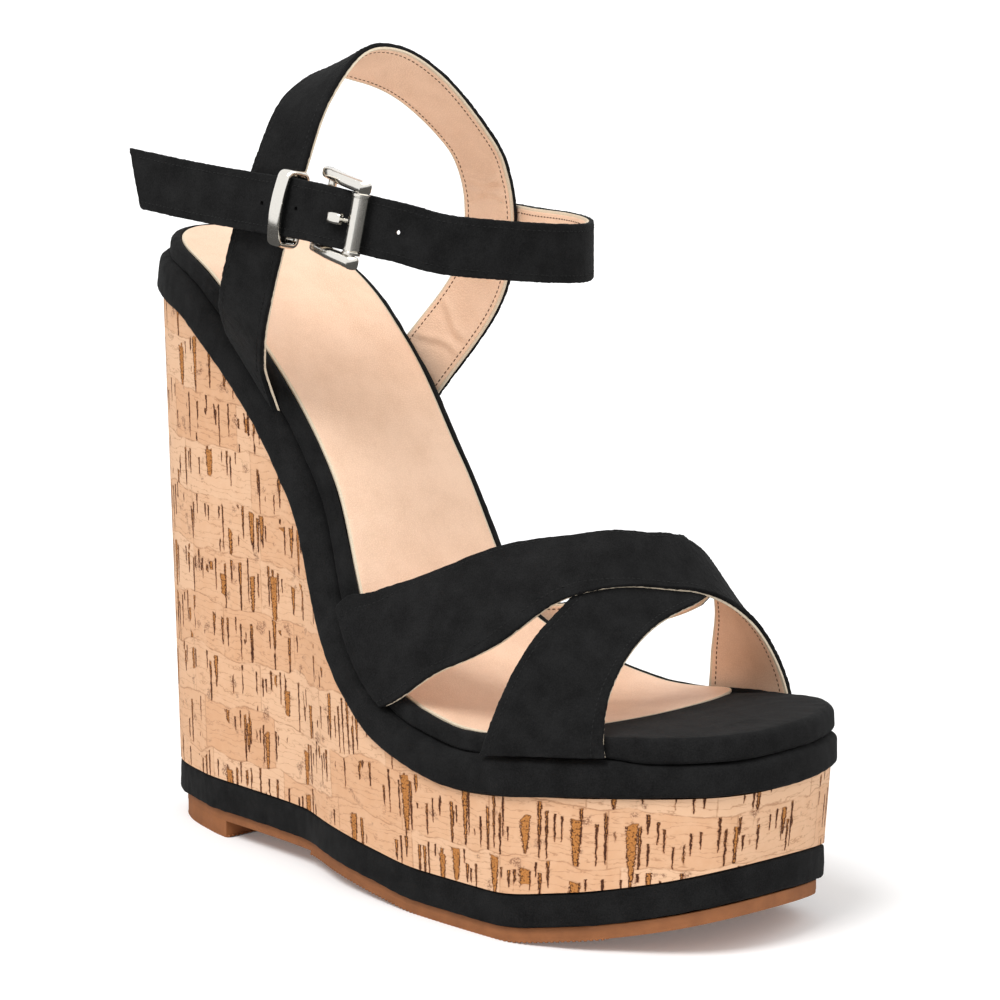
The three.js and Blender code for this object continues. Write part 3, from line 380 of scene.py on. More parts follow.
class Shape:
    """The curves and outlines that the pieces share, worked out from one scene's sizes."""

    def __init__(self, scene):
        self.bed = bed = scene.footbed_sizes
        self.sole = sole = scene.sole_sizes
        self.strap = scene.strap_sizes
        self.buckle = scene.buckle_sizes
        rise = bed.heel_height - bed.ball_height
        along = np.array(PROFILE["along"]) * bed.length
        self.profile = Path(
            np.stack([along, 0 * along, bed.ball_height + np.array(PROFILE["rise"]) * rise], -1), even=True
        )
        self.arc = self.profile.length
        squares = {"along": FOOTBED["along"]}
        squares.update({side: np.array(FOOTBED[side]) ** 2 for side in ("outer", "inner")})
        self.squares = {OUTER: column(squares, "outer"), INNER: column(squares, "inner")}
        self.groove = bed.pad + bed.sock + bed.gap
        self.rim_top = -self.groove - bed.gap
        self.rim_bottom = self.rim_top - bed.rim
        self.shift = 0.0
        top = self.wedge_top_x(np.array([0.0, 1.0]))
        self.heel_end = top[0] + bed.heel_rake
        self.toe_end = top[1] - bed.toe_rake
        self.shift = -(self.heel_end + sole.inset + sole.tread_inset + sole.block_length / 2)
        self.lifts = {key: column(UNDERSIDE, key) for key in ("heel", "arch", "toe")}
        self.crown = column(CROWN, "rise")
        self.place_loop()
        self.place_ankle()

    def half_width(self, side, share):
        """Signed distance of the footbed's edge from its middle line."""
        return side * self.bed.ball_width / 2 * np.sqrt(np.maximum(0, self.squares[side](share)))

    def over_footbed(self, run, side, height):
        """Points over the footbed: distance along it, distance to the side, height above it."""
        run, side, height = np.broadcast_arrays(
            np.asarray(run, float), np.asarray(side, float), np.asarray(height, float)
        )
        share = np.clip(run / self.arc, 0, 1)
        tangent = self.profile.along(share)
        spot = self.profile.at(share) + tangent * (run - share * self.arc)[..., None]
        x = spot[..., 0] - tangent[..., 2] * height + self.shift
        return np.stack([x, side, spot[..., 2] + tangent[..., 0] * height], -1)

    def run_of(self, share, outset):
        """Distance along the footbed at a share of an outline that is grown by an outset."""
        setback = self.bed.rim_overhang - outset
        return setback + (self.arc - 2 * setback) * share

    def share_of(self, run, outset):
        """The share of an outline at a distance along the footbed."""
        setback = self.bed.rim_overhang - outset
        return (run - setback) / (self.arc - 2 * setback)

    def run_at(self, share):
        """Distance along the footbed at a share of its length on the floor."""
        return np.interp(share * self.bed.length, self.profile.points[:, 0], self.profile.run)

    @staticmethod
    def growth(share):
        """How much of an outset an outline has at a share of its length."""
        return np.maximum(0, np.sin(np.pi * share)) ** 0.25

    @staticmethod
    def toe_part(share):
        """Where along an outline the cushion swells over the rim."""
        return eased(share, *TOE_SWELL)

    def outline(self, outset, height, count=260):
        """Outer edge, then inner edge backwards, of an outline over the footbed."""
        share = crowded(count)
        edges = []
        for side in (OUTER, INNER):
            width = self.half_width(side, share) + side * outset * self.growth(share)
            edges.append(self.over_footbed(self.run_of(share, outset), width, height))
        return np.vstack([edges[0], edges[1][::-1]])

    def wedge_top_x(self, share):
        """Where the wedge's upper end lies along the floor."""
        end = self.over_footbed(self.run_of(share, self.bed.rim_overhang), 0, self.rim_bottom)
        return end[..., 0] - self.shift

    def bottom_x(self, share, inset):
        """Where the wedge's lower end lies along the floor, before the shift to the heel block."""
        top = self.wedge_top_x(np.array([0.0, 1.0]))
        part = (self.wedge_top_x(share) - top[0]) / (top[1] - top[0])
        return (self.heel_end + inset) * (1 - part) + (self.toe_end - inset) * part

    def lift(self, x):
        """Height of the sole's underside over the floor."""
        along = np.clip((x - self.heel_end) / (self.toe_end - self.heel_end), 0, 1)
        sizes = {"heel": self.sole.block_lift, "arch": self.sole.arch_lift, "toe": self.sole.toe_spring}
        return sum(self.lifts[key](along) * sizes[key] for key in sizes)

    def bottom_outline(self, inset, height_at, count=260, start=0.0, end=1.0):
        """Outline of the wedge's lower end at a height that follows x."""
        share = crowded(count)
        share = start + (end - start) * share if (start, end) != (0.0, 1.0) else share
        x = self.bottom_x(share, inset)
        edges = []
        for side in (OUTER, INNER):
            reach = (self.bed.rim_overhang - self.bed.side_taper - inset) * self.growth(share)
            y = self.half_width(side, share) + side * reach
            edges.append(np.stack([x + self.shift, y, height_at(x) + 0 * x], -1))
        return np.vstack([edges[0], edges[1][::-1]])

    def beside_pad(self, run, side):
        """Sideways place of a strap's middle against the cushion's edge."""
        bed = self.bed
        share = self.share_of(run, bed.pad_overhang)
        reach = 0.01
        change = self.half_width(side, share + reach) - self.half_width(side, share - reach)
        slope = change / (2 * reach * self.arc)
        standoff = bed.pad_overhang + (self.strap.clearance + self.strap.wall / 2) * np.hypot(1, slope)
        return self.half_width(side, share) + side * standoff

    def on_instep(self, share, girth, lift):
        """Points on the arch over the foot: share of the footbed's length, share of the girth."""
        strap = self.strap
        run = self.run_at(share)
        foot = self.over_footbed(run, 0, strap.clearance / 2 - self.groove)
        edge = np.where(girth < 0.5, self.beside_pad(run, OUTER), self.beside_pad(run, INNER))
        top = self.bed.ball_height + self.crown(share) * strap.instep_height
        across = np.abs(np.cos(np.pi * girth)) ** 0.9
        up = np.maximum(0, np.sin(np.pi * girth)) ** 1.25
        y = strap.instep_side + (edge - strap.instep_side) * across
        z = foot[..., 2] + (top + lift - foot[..., 2]) * up
        return np.stack([foot[..., 0], y, z], -1)

    def vamp_surface(self, rows):
        """Surface of a vamp strap: points and outward directions by girth and share across."""
        rear, front, lift = (column(rows, key, "girth") for key in ("rear", "front", "lift"))

        def points(girth, across):
            girth, across = np.meshgrid(girth, across, indexing="ij")
            share = rear(girth) + (front(girth) - rear(girth)) * across
            return self.on_instep(share, girth, lift(girth) * self.strap.crossing)

        def surface(girth, across):
            girth, across = np.asarray(girth, float), np.asarray(across, float)
            near = 0.004
            low = np.clip(girth - near, 0, 1 - 2 * near)
            along = points(low + 2 * near, across) - points(low, across)
            left = np.clip(across - near, 0, 1 - 2 * near)
            sideways = points(girth, left + 2 * near) - points(girth, left)
            middle = points(girth, across)
            out = unit(np.cross(along, sideways))
            centre = np.array([0, self.strap.instep_side, self.bed.ball_height])
            away = (middle - centre) * np.array([0, 1, 1])
            flip = np.sign((out * away).sum(-1, keepdims=True))
            return middle, out * flip

        return surface

    def place_loop(self):
        """The heel loop's middle line and the direction of its width."""
        strap = self.strap
        base = self.over_footbed(LOOP_FOOT["outer"] * self.arc, 0, 0)
        feet = []
        for side, key, sunk in ((OUTER, "outer", 0), (INNER, "inner", strap.loop_tuck)):
            run = LOOP_FOOT[key] * self.arc
            height = strap.clearance - self.groove - sunk
            feet.append(self.over_footbed(run, self.beside_pad(run, side), height))
        reach = np.array([strap.loop_lean, strap.loop_half_span, strap.loop_height])
        rows = [
            base * np.array([1, 0, 1]) + np.array(row) * reach
            for row in zip(LOOP["lean"], LOOP["side"], LOOP["rise"])
        ]
        self.loop_base = base
        self.loop = Path([feet[0], *rows, feet[1]])
        pitch = np.radians([LOOP_FOOT["pitch"], *LOOP["pitch"], LOOP_FOOT["pitch"]])
        self.loop_pitch = column({"along": self.loop.knots, "pitch": pitch}, "pitch")

    def loop_broadside(self, share):
        """Rough direction of the loop's width."""
        pitch = self.loop_pitch(share)
        return np.stack([np.cos(pitch), 0 * pitch, np.sin(pitch)], -1)

    def loop_frame(self, side, height, slope):
        """Origin and axes on the loop at a height: forwards, inwards, up the strap."""
        shares = np.linspace(0, 0.45, 4000) if side == OUTER else np.linspace(1, 0.45, 4000)
        share = shares[np.argmax(self.loop.at(shares)[:, 2] >= height)]
        rising = self.loop.along(share)
        rising = rising * np.sign(rising[2])
        inward = unit(np.cross(rising, self.loop_broadside(share)))
        forward = np.array([1, 0, slope])
        forward = unit(forward - inward * forward.dot(inward))
        return self.loop.at(share), np.stack([forward, inward, np.cross(forward, inward)])

    @staticmethod
    def placed(place, points):
        """Points of a placed frame in the sandal's own frame."""
        origin, axes = place
        return origin + np.asarray(points, float) @ axes

    def place_ankle(self):
        """The ankle strap's middle line, its tilt and the layers on the loop's outer side."""
        strap, buckle, gap = self.strap, self.buckle, self.bed.gap
        self.outer_place = self.loop_frame(OUTER, strap.ankle_height, BUCKLE_FALL)
        self.inner_place = self.loop_frame(INNER, strap.ankle_height - ANKLE["start"] * strap.ankle_drop, 0)
        self.tab_inside = -(strap.wall / 2 + gap)
        self.tab_outside = self.tab_inside - buckle.tab_wall
        self.tail_middle = self.tab_outside - gap - strap.wall / 2
        self.eye_inside = buckle.bar_radius + gap
        self.bar_side = self.tab_inside + self.eye_inside
        self.roller_setout = buckle.bar_setout + buckle.frame_length
        self.roller_radius = buckle.bar_radius + gap + buckle.roller_wall
        dip = self.tail_middle + buckle.roller_dip
        self.roller_side = dip - strap.wall / 2 - 2 * buckle.gap - self.roller_radius
        sewn = strap.wall + gap
        tail, reach = self.tail_middle, buckle.frame_length
        inner = [(-strap.loop_width / 2, sewn, 0), (0, sewn, 0), (strap.loop_width * 0.6, sewn, 0)]
        front = [
            (
                self.loop_base[0] + x * strap.ankle_reach,
                y * strap.loop_half_span,
                strap.ankle_height - z * strap.ankle_drop,
            )
            for x, y, z in zip(ANKLE["reach"], ANKLE["side"], ANKLE["drop"])
        ]
        outer = [
            (self.roller_setout, dip),
            (buckle.bar_setout + reach * 0.7, tail + buckle.roller_dip * 0.65),
            (buckle.bar_setout + reach * 0.4, tail + buckle.roller_dip * 0.2),
            (buckle.bar_setout + reach * 0.1, tail),
            (buckle.bar_setout - reach * 0.4, tail),
            (0, tail),
            (-strap.tail / 2, tail),
            (-strap.tail, tail),
        ]
        outer = [(x, y, float(self.rise(x))) for x, y in outer]
        points = [*self.placed(self.inner_place, inner), *front, *self.placed(self.outer_place, outer)]
        self.ankle = Path(points)
        upwards = [axes[2] for origin, axes in (self.inner_place, self.outer_place)]
        tilts = [math.atan2(abs(way[1]), way[2]) for way in upwards]
        lean = [tilts[0]] * 3 + [math.radians(row) for row in ANKLE["lean"]] + [tilts[1]] * len(outer)
        self.ankle_lean = column({"along": self.ankle.knots, "lean": lean}, "lean")

    def rise(self, setout):
        """How far the ankle strap runs over its straight line, at a distance forwards of the loop."""
        bar = self.buckle.bar_setout
        marks = (-self.strap.tail / 2, 0, 0.7 * bar, 1.1 * bar, self.roller_setout)
        return self.strap.ankle_rise * np.interp(setout, marks, (0, 0.5, 0.95, 1, 0.6))

    def ankle_broadside(self, share):
        """Rough direction of the ankle strap's width."""
        lean = np.tan(self.ankle_lean(share)) * -np.sign(self.ankle.at(share)[..., 1])
        return np.stack([0 * lean, lean, 0 * lean + 1], -1)

    def ankle_share(self, setout):
        """Share along the ankle strap at a distance forwards of the loop's middle."""
        shares = np.linspace(0.5, 1, 4000)
        origin, axes = self.outer_place
        forward = (self.ankle.at(shares) - origin) @ axes[0]
        return shares[np.argmax(forward <= setout)]

    def ribbon_surface(self, path, broadside, width, centre, skew=0.0, folds=None, flare=None):
        """Surface of a strap of even width: points and outward directions by share and share across."""

        def surface(share, across):
            share, across = np.asarray(share, float), np.asarray(across, float)
            along = path.along(share)
            wide = broadside(share)
            wide = unit(wide - along * (wide * along).sum(-1, keepdims=True))
            out = np.cross(along, wide)
            away = (path.at(share) - centre[0]) * centre[1]
            out = out * np.sign((out * away).sum(-1, keepdims=True))
            push = np.broadcast_to((across - 0.5) * width, (len(share), len(across)))
            if flare:
                spread = np.maximum(0, 1 - share / flare[1])[:, None] ** 2
                push = push + flare[0] * spread * np.maximum(0, across - 0.35)[None, :] / 0.65
            middle = path.at(share)[:, None] + wide[:, None] * push[..., None]
            slant = np.clip((share - 0.97) / 0.03, 0, 1)[:, None] * push * skew / width
            middle = middle + along[:, None] * slant[..., None]
            if folds:
                calm = np.clip((0.43 - np.abs(across - 0.5)) / 0.16, 0, 1)[None, :]
                for where, depth, spread in zip(folds["share"], folds["depth"], folds["width"]):
                    bend = (1.6 * np.sin(across * 5 + where * 90) + across * 2)[None, :] * spread
                    off = ((share[:, None] - where) * path.length + bend) / spread
                    dent = depth * calm * (np.exp(-(off**2)) - 0.6 * np.exp(-((off - 1.7) ** 2)))
                    middle = middle - out[:, None] * dent[..., None]
            return middle, np.broadcast_to(out[:, None], middle.shape)

        return surface

    def loop_surface(self, folds=None):
        """Surface of the heel loop."""
        middle = np.array([0, 0, self.loop_base[2] + self.strap.loop_height * 0.45])
        centre = (middle, np.array([0, 1, 1]))
        flare = (LOOP_FOOT["flare"], LOOP_FOOT["flare_end"])
        return self.ribbon_surface(
            self.loop, self.loop_broadside, self.strap.loop_width, centre, folds=folds, flare=flare
        )

    def ankle_surface(self):
        """Surface of the ankle strap."""
        centre = (np.array([0.06, -0.004, 0]), np.array([1, 1, 0]))
        return self.ribbon_surface(
            self.ankle, self.ankle_broadside, self.strap.ankle_width, centre, skew=self.strap.tail_skew
        )


def solid(name, rings, round_uv=None, level_uv=None, angle=40):
    """A closed smooth mesh through rings whose second half runs back along their first half."""
    rings = np.asarray(rings, float)
    levels, count = rings.shape[:2]
    faces, corners = [], []
    for i in range(levels - 1):
        near, far = i * count, (i + 1) * count
        for j in range(count):
            following = (j + 1) % count
            faces.append((near + j, near + following, far + following, far + j))
            if round_uv is not None:
                left, right = round_uv[j], round_uv[j + 1]
                low, high = level_uv[i], level_uv[i + 1]
                corners += [(left, low), (right, low), (right, high), (left, high)]
    for level in (0, levels - 1):
        for j in range(count // 2 - 1):
            quad = (j, j + 1, count - 2 - j, count - 1 - j)
            faces.append(tuple(level * count + q for q in quad))
            corners += [(0, 0)] * 4
    mesh = bpy.data.meshes.new(name)
    mesh.from_pydata(rings.reshape(-1, 3).tolist(), [], faces)
    if round_uv is not None:
        layer = mesh.uv_layers.new(name="surface")
        layer.data.foreach_set("uv", np.array(corners, np.float32).ravel())
    return tidied(name, mesh, angle)


def placed_in_scene(name, data):
    """An object of a mesh or curve, in the scene at the origin."""
    piece = bpy.data.objects.new(name, data)
    bpy.context.scene.collection.objects.link(piece)
    return piece


def tidied(name, mesh, angle=40):
    """An object of a mesh with merged doubles, outward faces and smooth shading."""
    work = bmesh.new()
    work.from_mesh(mesh)
    bmesh.ops.remove_doubles(work, verts=work.verts, dist=1e-6)
    bmesh.ops.dissolve_degenerate(work, edges=work.edges, dist=1e-7)
    bmesh.ops.recalc_face_normals(work, faces=work.faces)
    work.to_mesh(mesh)
    work.free()
    mesh.shade_smooth()
    mesh.set_sharp_from_angle(angle=math.radians(angle))
    return placed_in_scene(name, mesh)


def roughen(piece, depth, size):
    """Raises and lowers a piece's surface a little, as nap and stuffing do."""
    mesh = piece.data
    scale = Vector((1, 1, 1)) / size
    for vertex, normal in zip(mesh.vertices, [n.vector.copy() for n in mesh.vertex_normals]):
        vertex.co += normal * depth * noise.noise(Vector(a * b for a, b in zip(vertex.co, scale)))
    mesh.update()


def finished(piece, slot, node=None, *materials):
    """Gives a piece its materials and its place on the sandal, and hides the solids that it stands for."""
    for material in materials:
        piece.data.materials.append(material)
    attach(piece, "root")
    if node:
        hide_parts(node)


def edge_columns(width, spacing):
    """Shares across a strap, closer together at its edges."""
    near = np.array([0, 0.08, 0.2, 0.4, 0.7]) * MM / width
    inside = np.linspace(1.1 * MM / width, 1 - 1.1 * MM / width, max(2, int(width / spacing)))
    return np.concatenate([near, inside, 1 - near[::-1]])


def strap_layer(name, surface, stations, width, top, bottom, rounding, spacing=0.0009):
    """One layer of a strap between two heights over its middle surface, with rounded edges."""
    across = edge_columns(width, spacing)
    inwards = np.minimum(across, 1 - across) * width
    fall = rounding - np.sqrt(np.maximum(0, rounding**2 - np.maximum(0, rounding - inwards) ** 2))
    middle, out = surface(stations, across)
    upper = middle + out * (top - fall)[None, :, None]
    lower = middle + out * (bottom + fall * 0.4)[None, :, None]
    return solid(name, np.concatenate([upper, lower[:, ::-1]], axis=1))


def seam_lines(surface, stations, width, inset, height):
    """Two lines along a strap, an inset from its edges, at a height over its middle surface."""
    middle, out = surface(stations, np.array([inset / width, 1 - inset / width]))
    lines = middle + out * height
    return [lines[:, 0], lines[:, 1]]


def socket_id(tree, name):
    """Identifier of a modifier's named input."""
    items = tree.interface.items_tree
    return next(item.identifier for item in items if item.name == name and item.in_out == "INPUT")


def repeat_tree(name, make_shape):
    """A node tree that sets one small shape along every line, turned to it."""
    tree = bpy.data.node_groups.new(name, "GeometryNodeTree")
    face = tree.interface
    face.new_socket("Geometry", in_out="INPUT", socket_type="NodeSocketGeometry")
    for label in ("Pitch", "Length", "Thickness"):
        face.new_socket(label, in_out="INPUT", socket_type="NodeSocketFloat")
    face.new_socket("Finish", in_out="INPUT", socket_type="NodeSocketMaterial")
    face.new_socket("Geometry", in_out="OUTPUT", socket_type="NodeSocketGeometry")
    nodes, link = tree.nodes, tree.links.new
    given, result = nodes.new("NodeGroupInput"), nodes.new("NodeGroupOutput")
    spaced = nodes.new("GeometryNodeResampleCurve")
    spaced.mode = "LENGTH"
    link(given.outputs["Geometry"], spaced.inputs["Curve"])
    link(given.outputs["Pitch"], spaced.inputs["Length"])
    tangent = nodes.new("GeometryNodeInputTangent")
    turned = nodes.new("FunctionNodeAlignRotationToVector")
    turned.axis = "Z"
    link(tangent.outputs[0], turned.inputs["Vector"])
    size = nodes.new("ShaderNodeCombineXYZ")
    link(given.outputs["Thickness"], size.inputs[0])
    link(given.outputs["Thickness"], size.inputs[1])
    link(given.outputs["Length"], size.inputs[2])
    spread = nodes.new("GeometryNodeInstanceOnPoints")
    link(spaced.outputs[0], spread.inputs["Points"])
    link(make_shape(nodes), spread.inputs["Instance"])
    link(turned.outputs[0], spread.inputs["Rotation"])
    link(size.outputs[0], spread.inputs["Scale"])
    real = nodes.new("GeometryNodeRealizeInstances")
    painted = nodes.new("GeometryNodeSetMaterial")
    link(spread.outputs[0], real.inputs[0])
    link(real.outputs[0], painted.inputs["Geometry"])
    link(given.outputs["Finish"], painted.inputs["Material"])
    link(painted.outputs[0], result.inputs[0])
    return tree


def stitch_shape(nodes):
    """A short thread, one unit long and thick."""
    shape = nodes.new("GeometryNodeMeshUVSphere")
    shape.inputs["Segments"].default_value = 6
    shape.inputs["Rings"].default_value = 5
    shape.inputs["Radius"].default_value = 0.5
    return shape.outputs["Mesh"]


def tooth_shape(nodes):
    """A block, one unit long and thick."""
    shape = nodes.new("GeometryNodeMeshCube")
    shape.inputs["Size"].default_value = (1, 1, 1)
    return shape.outputs["Mesh"]


def repeated(name, lines, tree, material, sizes, cyclic=False):
    """A mesh of the tree's small shape repeated along lines."""
    curve = bpy.data.curves.new(name, "CURVE")
    curve.dimensions = "3D"
    for line in lines:
        spline = curve.splines.new("POLY")
        spline.points.add(len(line) - 1)
        spline.points.foreach_set("co", np.c_[line, np.ones(len(line))].ravel())
        spline.use_cyclic_u = cyclic
    guide = placed_in_scene(name + "_guide", curve)
    modifier = guide.modifiers.new("repeat", "NODES")
    modifier.node_group = tree
    for label, value in sizes.items():
        modifier[socket_id(tree, label)] = value
    modifier[socket_id(tree, "Finish")] = material
    graph = bpy.context.evaluated_depsgraph_get()
    mesh = bpy.data.meshes.new_from_object(guide.evaluated_get(graph), depsgraph=graph)
    bpy.data.objects.remove(guide)
    mesh.shade_smooth()
    return placed_in_scene(name, mesh)


def rounded(width, depth, radius, steps=4):
    """Outline of a bar with rounded corners."""
    points = []
    for quarter, (x, y) in enumerate(((1, 1), (-1, 1), (-1, -1), (1, -1))):
        for k in range(steps + 1):
            angle = math.pi / 2 * (quarter + k / steps)
            points.append(
                (
                    x * (width / 2 - radius) + radius * math.cos(angle),
                    y * (depth / 2 - radius) + radius * math.sin(angle),
                )
            )
    return np.array(points)


def pillow(width, depth, squareness=3.2, count=28):
    """Outline of a bar with swollen faces."""
    angle = np.arange(count) * 2 * math.pi / count
    across, up = np.cos(angle), np.sin(angle)
    power = 2 / squareness
    x = width / 2 * np.sign(across) * np.abs(across) ** power
    y = depth / 2 * np.sign(up) * np.abs(up) ** power
    return np.stack([x, y], -1)


def swept(name, section, centres, sides, ups, scales=None, closed=False, angle=40):
    """A bar with one section along a line."""
    centres = np.asarray(centres, float)
    scales = np.ones(len(centres)) if scales is None else np.asarray(scales, float)
    rings = [
        centre + (section[:, :1] * side + section[:, 1:] * up) * scale
        for centre, side, up, scale in zip(centres, sides, ups, scales)
    ]
    count = len(section)
    faces = []
    for i in range(len(rings) if closed else len(rings) - 1):
        near, far = i * count, (i + 1) % len(rings) * count
        for j in range(count):
            following = (j + 1) % count
            faces.append((near + j, near + following, far + following, far + j))
    if not closed:
        faces += [tuple(range(count)), tuple((len(rings) - 1) * count + j for j in range(count))]
    mesh = bpy.data.meshes.new(name)
    mesh.from_pydata(np.vstack(rings).tolist(), [], faces)
    return tidied(name, mesh, angle)


def joined(name, pieces):
    """One object out of several."""
    work = bmesh.new()
    for piece in pieces:
        work.from_mesh(piece.data)
        bpy.data.objects.remove(piece)
    mesh = bpy.data.meshes.new(name)
    work.to_mesh(mesh)
    work.free()
    mesh.shade_smooth()
    mesh.set_sharp_from_angle(angle=math.radians(40))
    return placed_in_scene(name, mesh)


class Value:
    """A number that changes over a surface; sums and products of it add their Math nodes."""

    def __init__(self, finish, socket):
        self.finish = finish
        self.socket = socket

    def math(self, operation, *others, swap=False):
        """A Math node on this number and others."""
        operands = [self, *others]
        if swap:
            operands.reverse()
        made = self.finish.node("ShaderNodeMath", {"operation": operation}, dict(enumerate(operands)))
        return Value(self.finish, made.outputs[0])

    def __add__(self, other):
        return self.math("ADD", other)

    def __radd__(self, other):
        return self.math("ADD", other)

    def __sub__(self, other):
        return self.math("SUBTRACT", other)

    def __rsub__(self, other):
        return self.math("SUBTRACT", other, swap=True)

    def __mul__(self, other):
        return self.math("MULTIPLY", other)

    def __rmul__(self, other):
        return self.math("MULTIPLY", other)

    def __truediv__(self, other):
        return self.math("DIVIDE", other)

    def floor(self):
        """Whole part."""
        return self.math("FLOOR")

    def fract(self):
        """Part after the point."""
        return self.math("FRACT")

    def smooth(self, low, high):
        """Rises softly from 0 at low to 1 at high."""
        made = self.finish.node(
            "ShaderNodeMapRange",
            {"interpolation_type": "SMOOTHSTEP"},
            {"Value": self, "From Min": low, "From Max": high},
        )
        return Value(self.finish, made.outputs["Result"])


class Finish:
    """A material in the making."""

    def __init__(self, name, roughness, **constants):
        self.material = bpy.data.materials.new(name)
        self.material.use_nodes = True
        self.tree = self.material.node_tree
        self.tree.nodes.clear()
        self.shader = self.node("ShaderNodeBsdfPrincipled", {}, {"Roughness": roughness, **constants})
        self.node("ShaderNodeOutputMaterial", {}, {"Surface": self.shader.outputs[0]})

    def node(self, kind, settings=None, sockets=None):
        """A node with its settings and then the values or links of its sockets."""
        made = self.tree.nodes.new(kind)
        for key, value in (settings or {}).items():
            setattr(made, key, value)
        for key, value in (sockets or {}).items():
            if isinstance(value, Value):
                value = value.socket
            if isinstance(value, bpy.types.NodeSocket):
                self.tree.links.new(value, made.inputs[key])
            else:
                made.inputs[key].default_value = value
        return made

    def place(self, stretch=(1, 1, 1)):
        """Places on the sandal in millimetres, stretched."""
        spot = self.node("ShaderNodeTexCoord").outputs["Object"]
        scale = tuple(1000 * s for s in stretch)
        return self.node("ShaderNodeMapping", {}, {"Vector": spot, "Scale": scale}).outputs[0]

    def noise(self, place, size, detail=2, roughness=0.5):
        """Soft noise from 0 to 1 with a grain of a size in millimetres."""
        made = self.node(
            "ShaderNodeTexNoise",
            {},
            {"Vector": place, "Scale": 1 / size, "Detail": detail, "Roughness": roughness},
        )
        return Value(self, made.outputs[0])

    def mix(self, part, first, second):
        """Two colours mixed."""
        made = self.node("ShaderNodeMix", {"data_type": "RGBA"}, {0: part, 6: first, 7: second})
        return made.outputs[2]

    def colour(self, value):
        """The surface's colour."""
        self.tree.links.new(value, self.shader.inputs["Base Color"])

    def rough(self, value):
        """The surface's roughness."""
        self.tree.links.new(value.socket, self.shader.inputs["Roughness"])

    def relief(self, height, depth, strength=1.0):
        """Raises and lowers the surface by a height from 0 to 1 times a depth in metres."""
        bump = self.node("ShaderNodeBump", {}, {"Height": height, "Distance": depth, "Strength": strength})
        self.tree.links.new(bump.outputs[0], self.shader.inputs["Normal"])


def solid_colour(colour):
    """A colour with full cover."""
    return (*colour, 1.0)


def suede_finish(colours):
    """Black suede: a short nap that catches a little light where it is brushed up."""
    sheen = {
        "Sheen Weight": 0.05,
        "Sheen Roughness": 0.4,
        "Sheen Tint": (0.6, 0.6, 0.6, 1),
        "Specular IOR Level": 0.1,
    }
    finish = Finish("suede", 0.92, **sheen)
    place = finish.place()
    nap = finish.noise(place, 0.35, 3, 0.65)
    brushed = finish.noise(place, 7, 3, 0.6)
    dark = solid_colour(c * 0.55 for c in colours.suede)
    light = solid_colour(min(1, c * 2.3 + 0.004) for c in colours.suede)
    mask = (nap * 0.7 + brushed * 0.5 - 0.1).smooth(0.2, 0.85)
    lint = finish.noise(place, 0.28, 2, 0.7).smooth(0.68, 0.8)
    base = finish.mix(mask, dark, light)
    finish.colour(finish.mix(lint * 0.5, base, solid_colour(c * 7 for c in colours.suede)))
    finish.relief(nap, 0.00016, 0.8)
    return finish.material


def leather_finish(name, colour, depth):
    """Smooth leather with a fine grain."""
    finish = Finish(name, 0.5, **{"Specular IOR Level": 0.35})
    place = finish.place()
    cells = finish.node(
        "ShaderNodeTexVoronoi", {"feature": "DISTANCE_TO_EDGE"}, {"Vector": place, "Scale": 1.5}
    )
    grain = Value(finish, cells.outputs["Distance"]).smooth(0.0, 0.25)
    cloud = finish.noise(place, 9, 3, 0.55)
    fine = finish.noise(place, 0.5, 2, 0.6)
    pale = solid_colour(min(1, c * 1.06) for c in colour)
    deep = solid_colour(c * f for c, f in zip(colour, (0.9, 0.85, 0.8)))
    finish.colour(finish.mix((cloud * 0.75 + (1 - grain) * 0.22).smooth(0.2, 0.9), pale, deep))
    finish.rough(0.42 + fine * 0.16)
    finish.relief(grain * 0.7 + fine * 0.5, depth, 0.6)
    return finish.material


def edge_finish(colours):
    """Raw cut edge of leather, with fibres."""
    finish = Finish("cut_edge", 0.75, **{"Specular IOR Level": 0.2})
    place = finish.place()
    fibre = finish.noise(place, 0.3, 3, 0.7)
    deep = solid_colour(c * 0.72 for c in colours.cut_edge)
    finish.colour(finish.mix(fibre.smooth(0.3, 0.8), solid_colour(colours.cut_edge), deep))
    finish.relief(fibre, 0.0001, 0.7)
    return finish.material


def rubber_finish(colours):
    """Tan rubber, matt, with a faint mottle."""
    finish = Finish("rubber", 0.55, **{"Specular IOR Level": 0.35})
    place = finish.place()
    mottle = finish.noise(place, 5, 3, 0.6)
    grit = finish.noise(place, 0.4, 2, 0.6)
    deep = solid_colour(c * 0.78 for c in colours.rubber)
    finish.colour(finish.mix(mottle.smooth(0.25, 0.8), solid_colour(colours.rubber), deep))
    finish.rough(0.48 + grit * 0.2)
    finish.relief(grit, 0.00008, 0.6)
    return finish.material


def metal_finish(colours):
    """Polished nickel with hairline scratches."""
    finish = Finish("nickel", 0.1, Metallic=1.0)
    place = finish.place((1, 1, 8))
    scratch = finish.noise(place, 0.9, 4, 0.7)
    deep = solid_colour(c * 0.9 for c in colours.metal)
    finish.colour(finish.mix(scratch.smooth(0.4, 0.9), solid_colour(colours.metal), deep))
    finish.rough(0.06 + scratch * 0.14)
    return finish.material


def thread_finish(name, colour):
    """Sewing thread."""
    finish = Finish(name, 0.7, **{"Specular IOR Level": 0.2})
    twist = finish.noise(finish.place(), 0.25, 2, 0.6)
    deep = solid_colour(c * 0.6 for c in colour)
    finish.colour(finish.mix(twist.smooth(0.3, 0.7), solid_colour(colour), deep))
    return finish.material


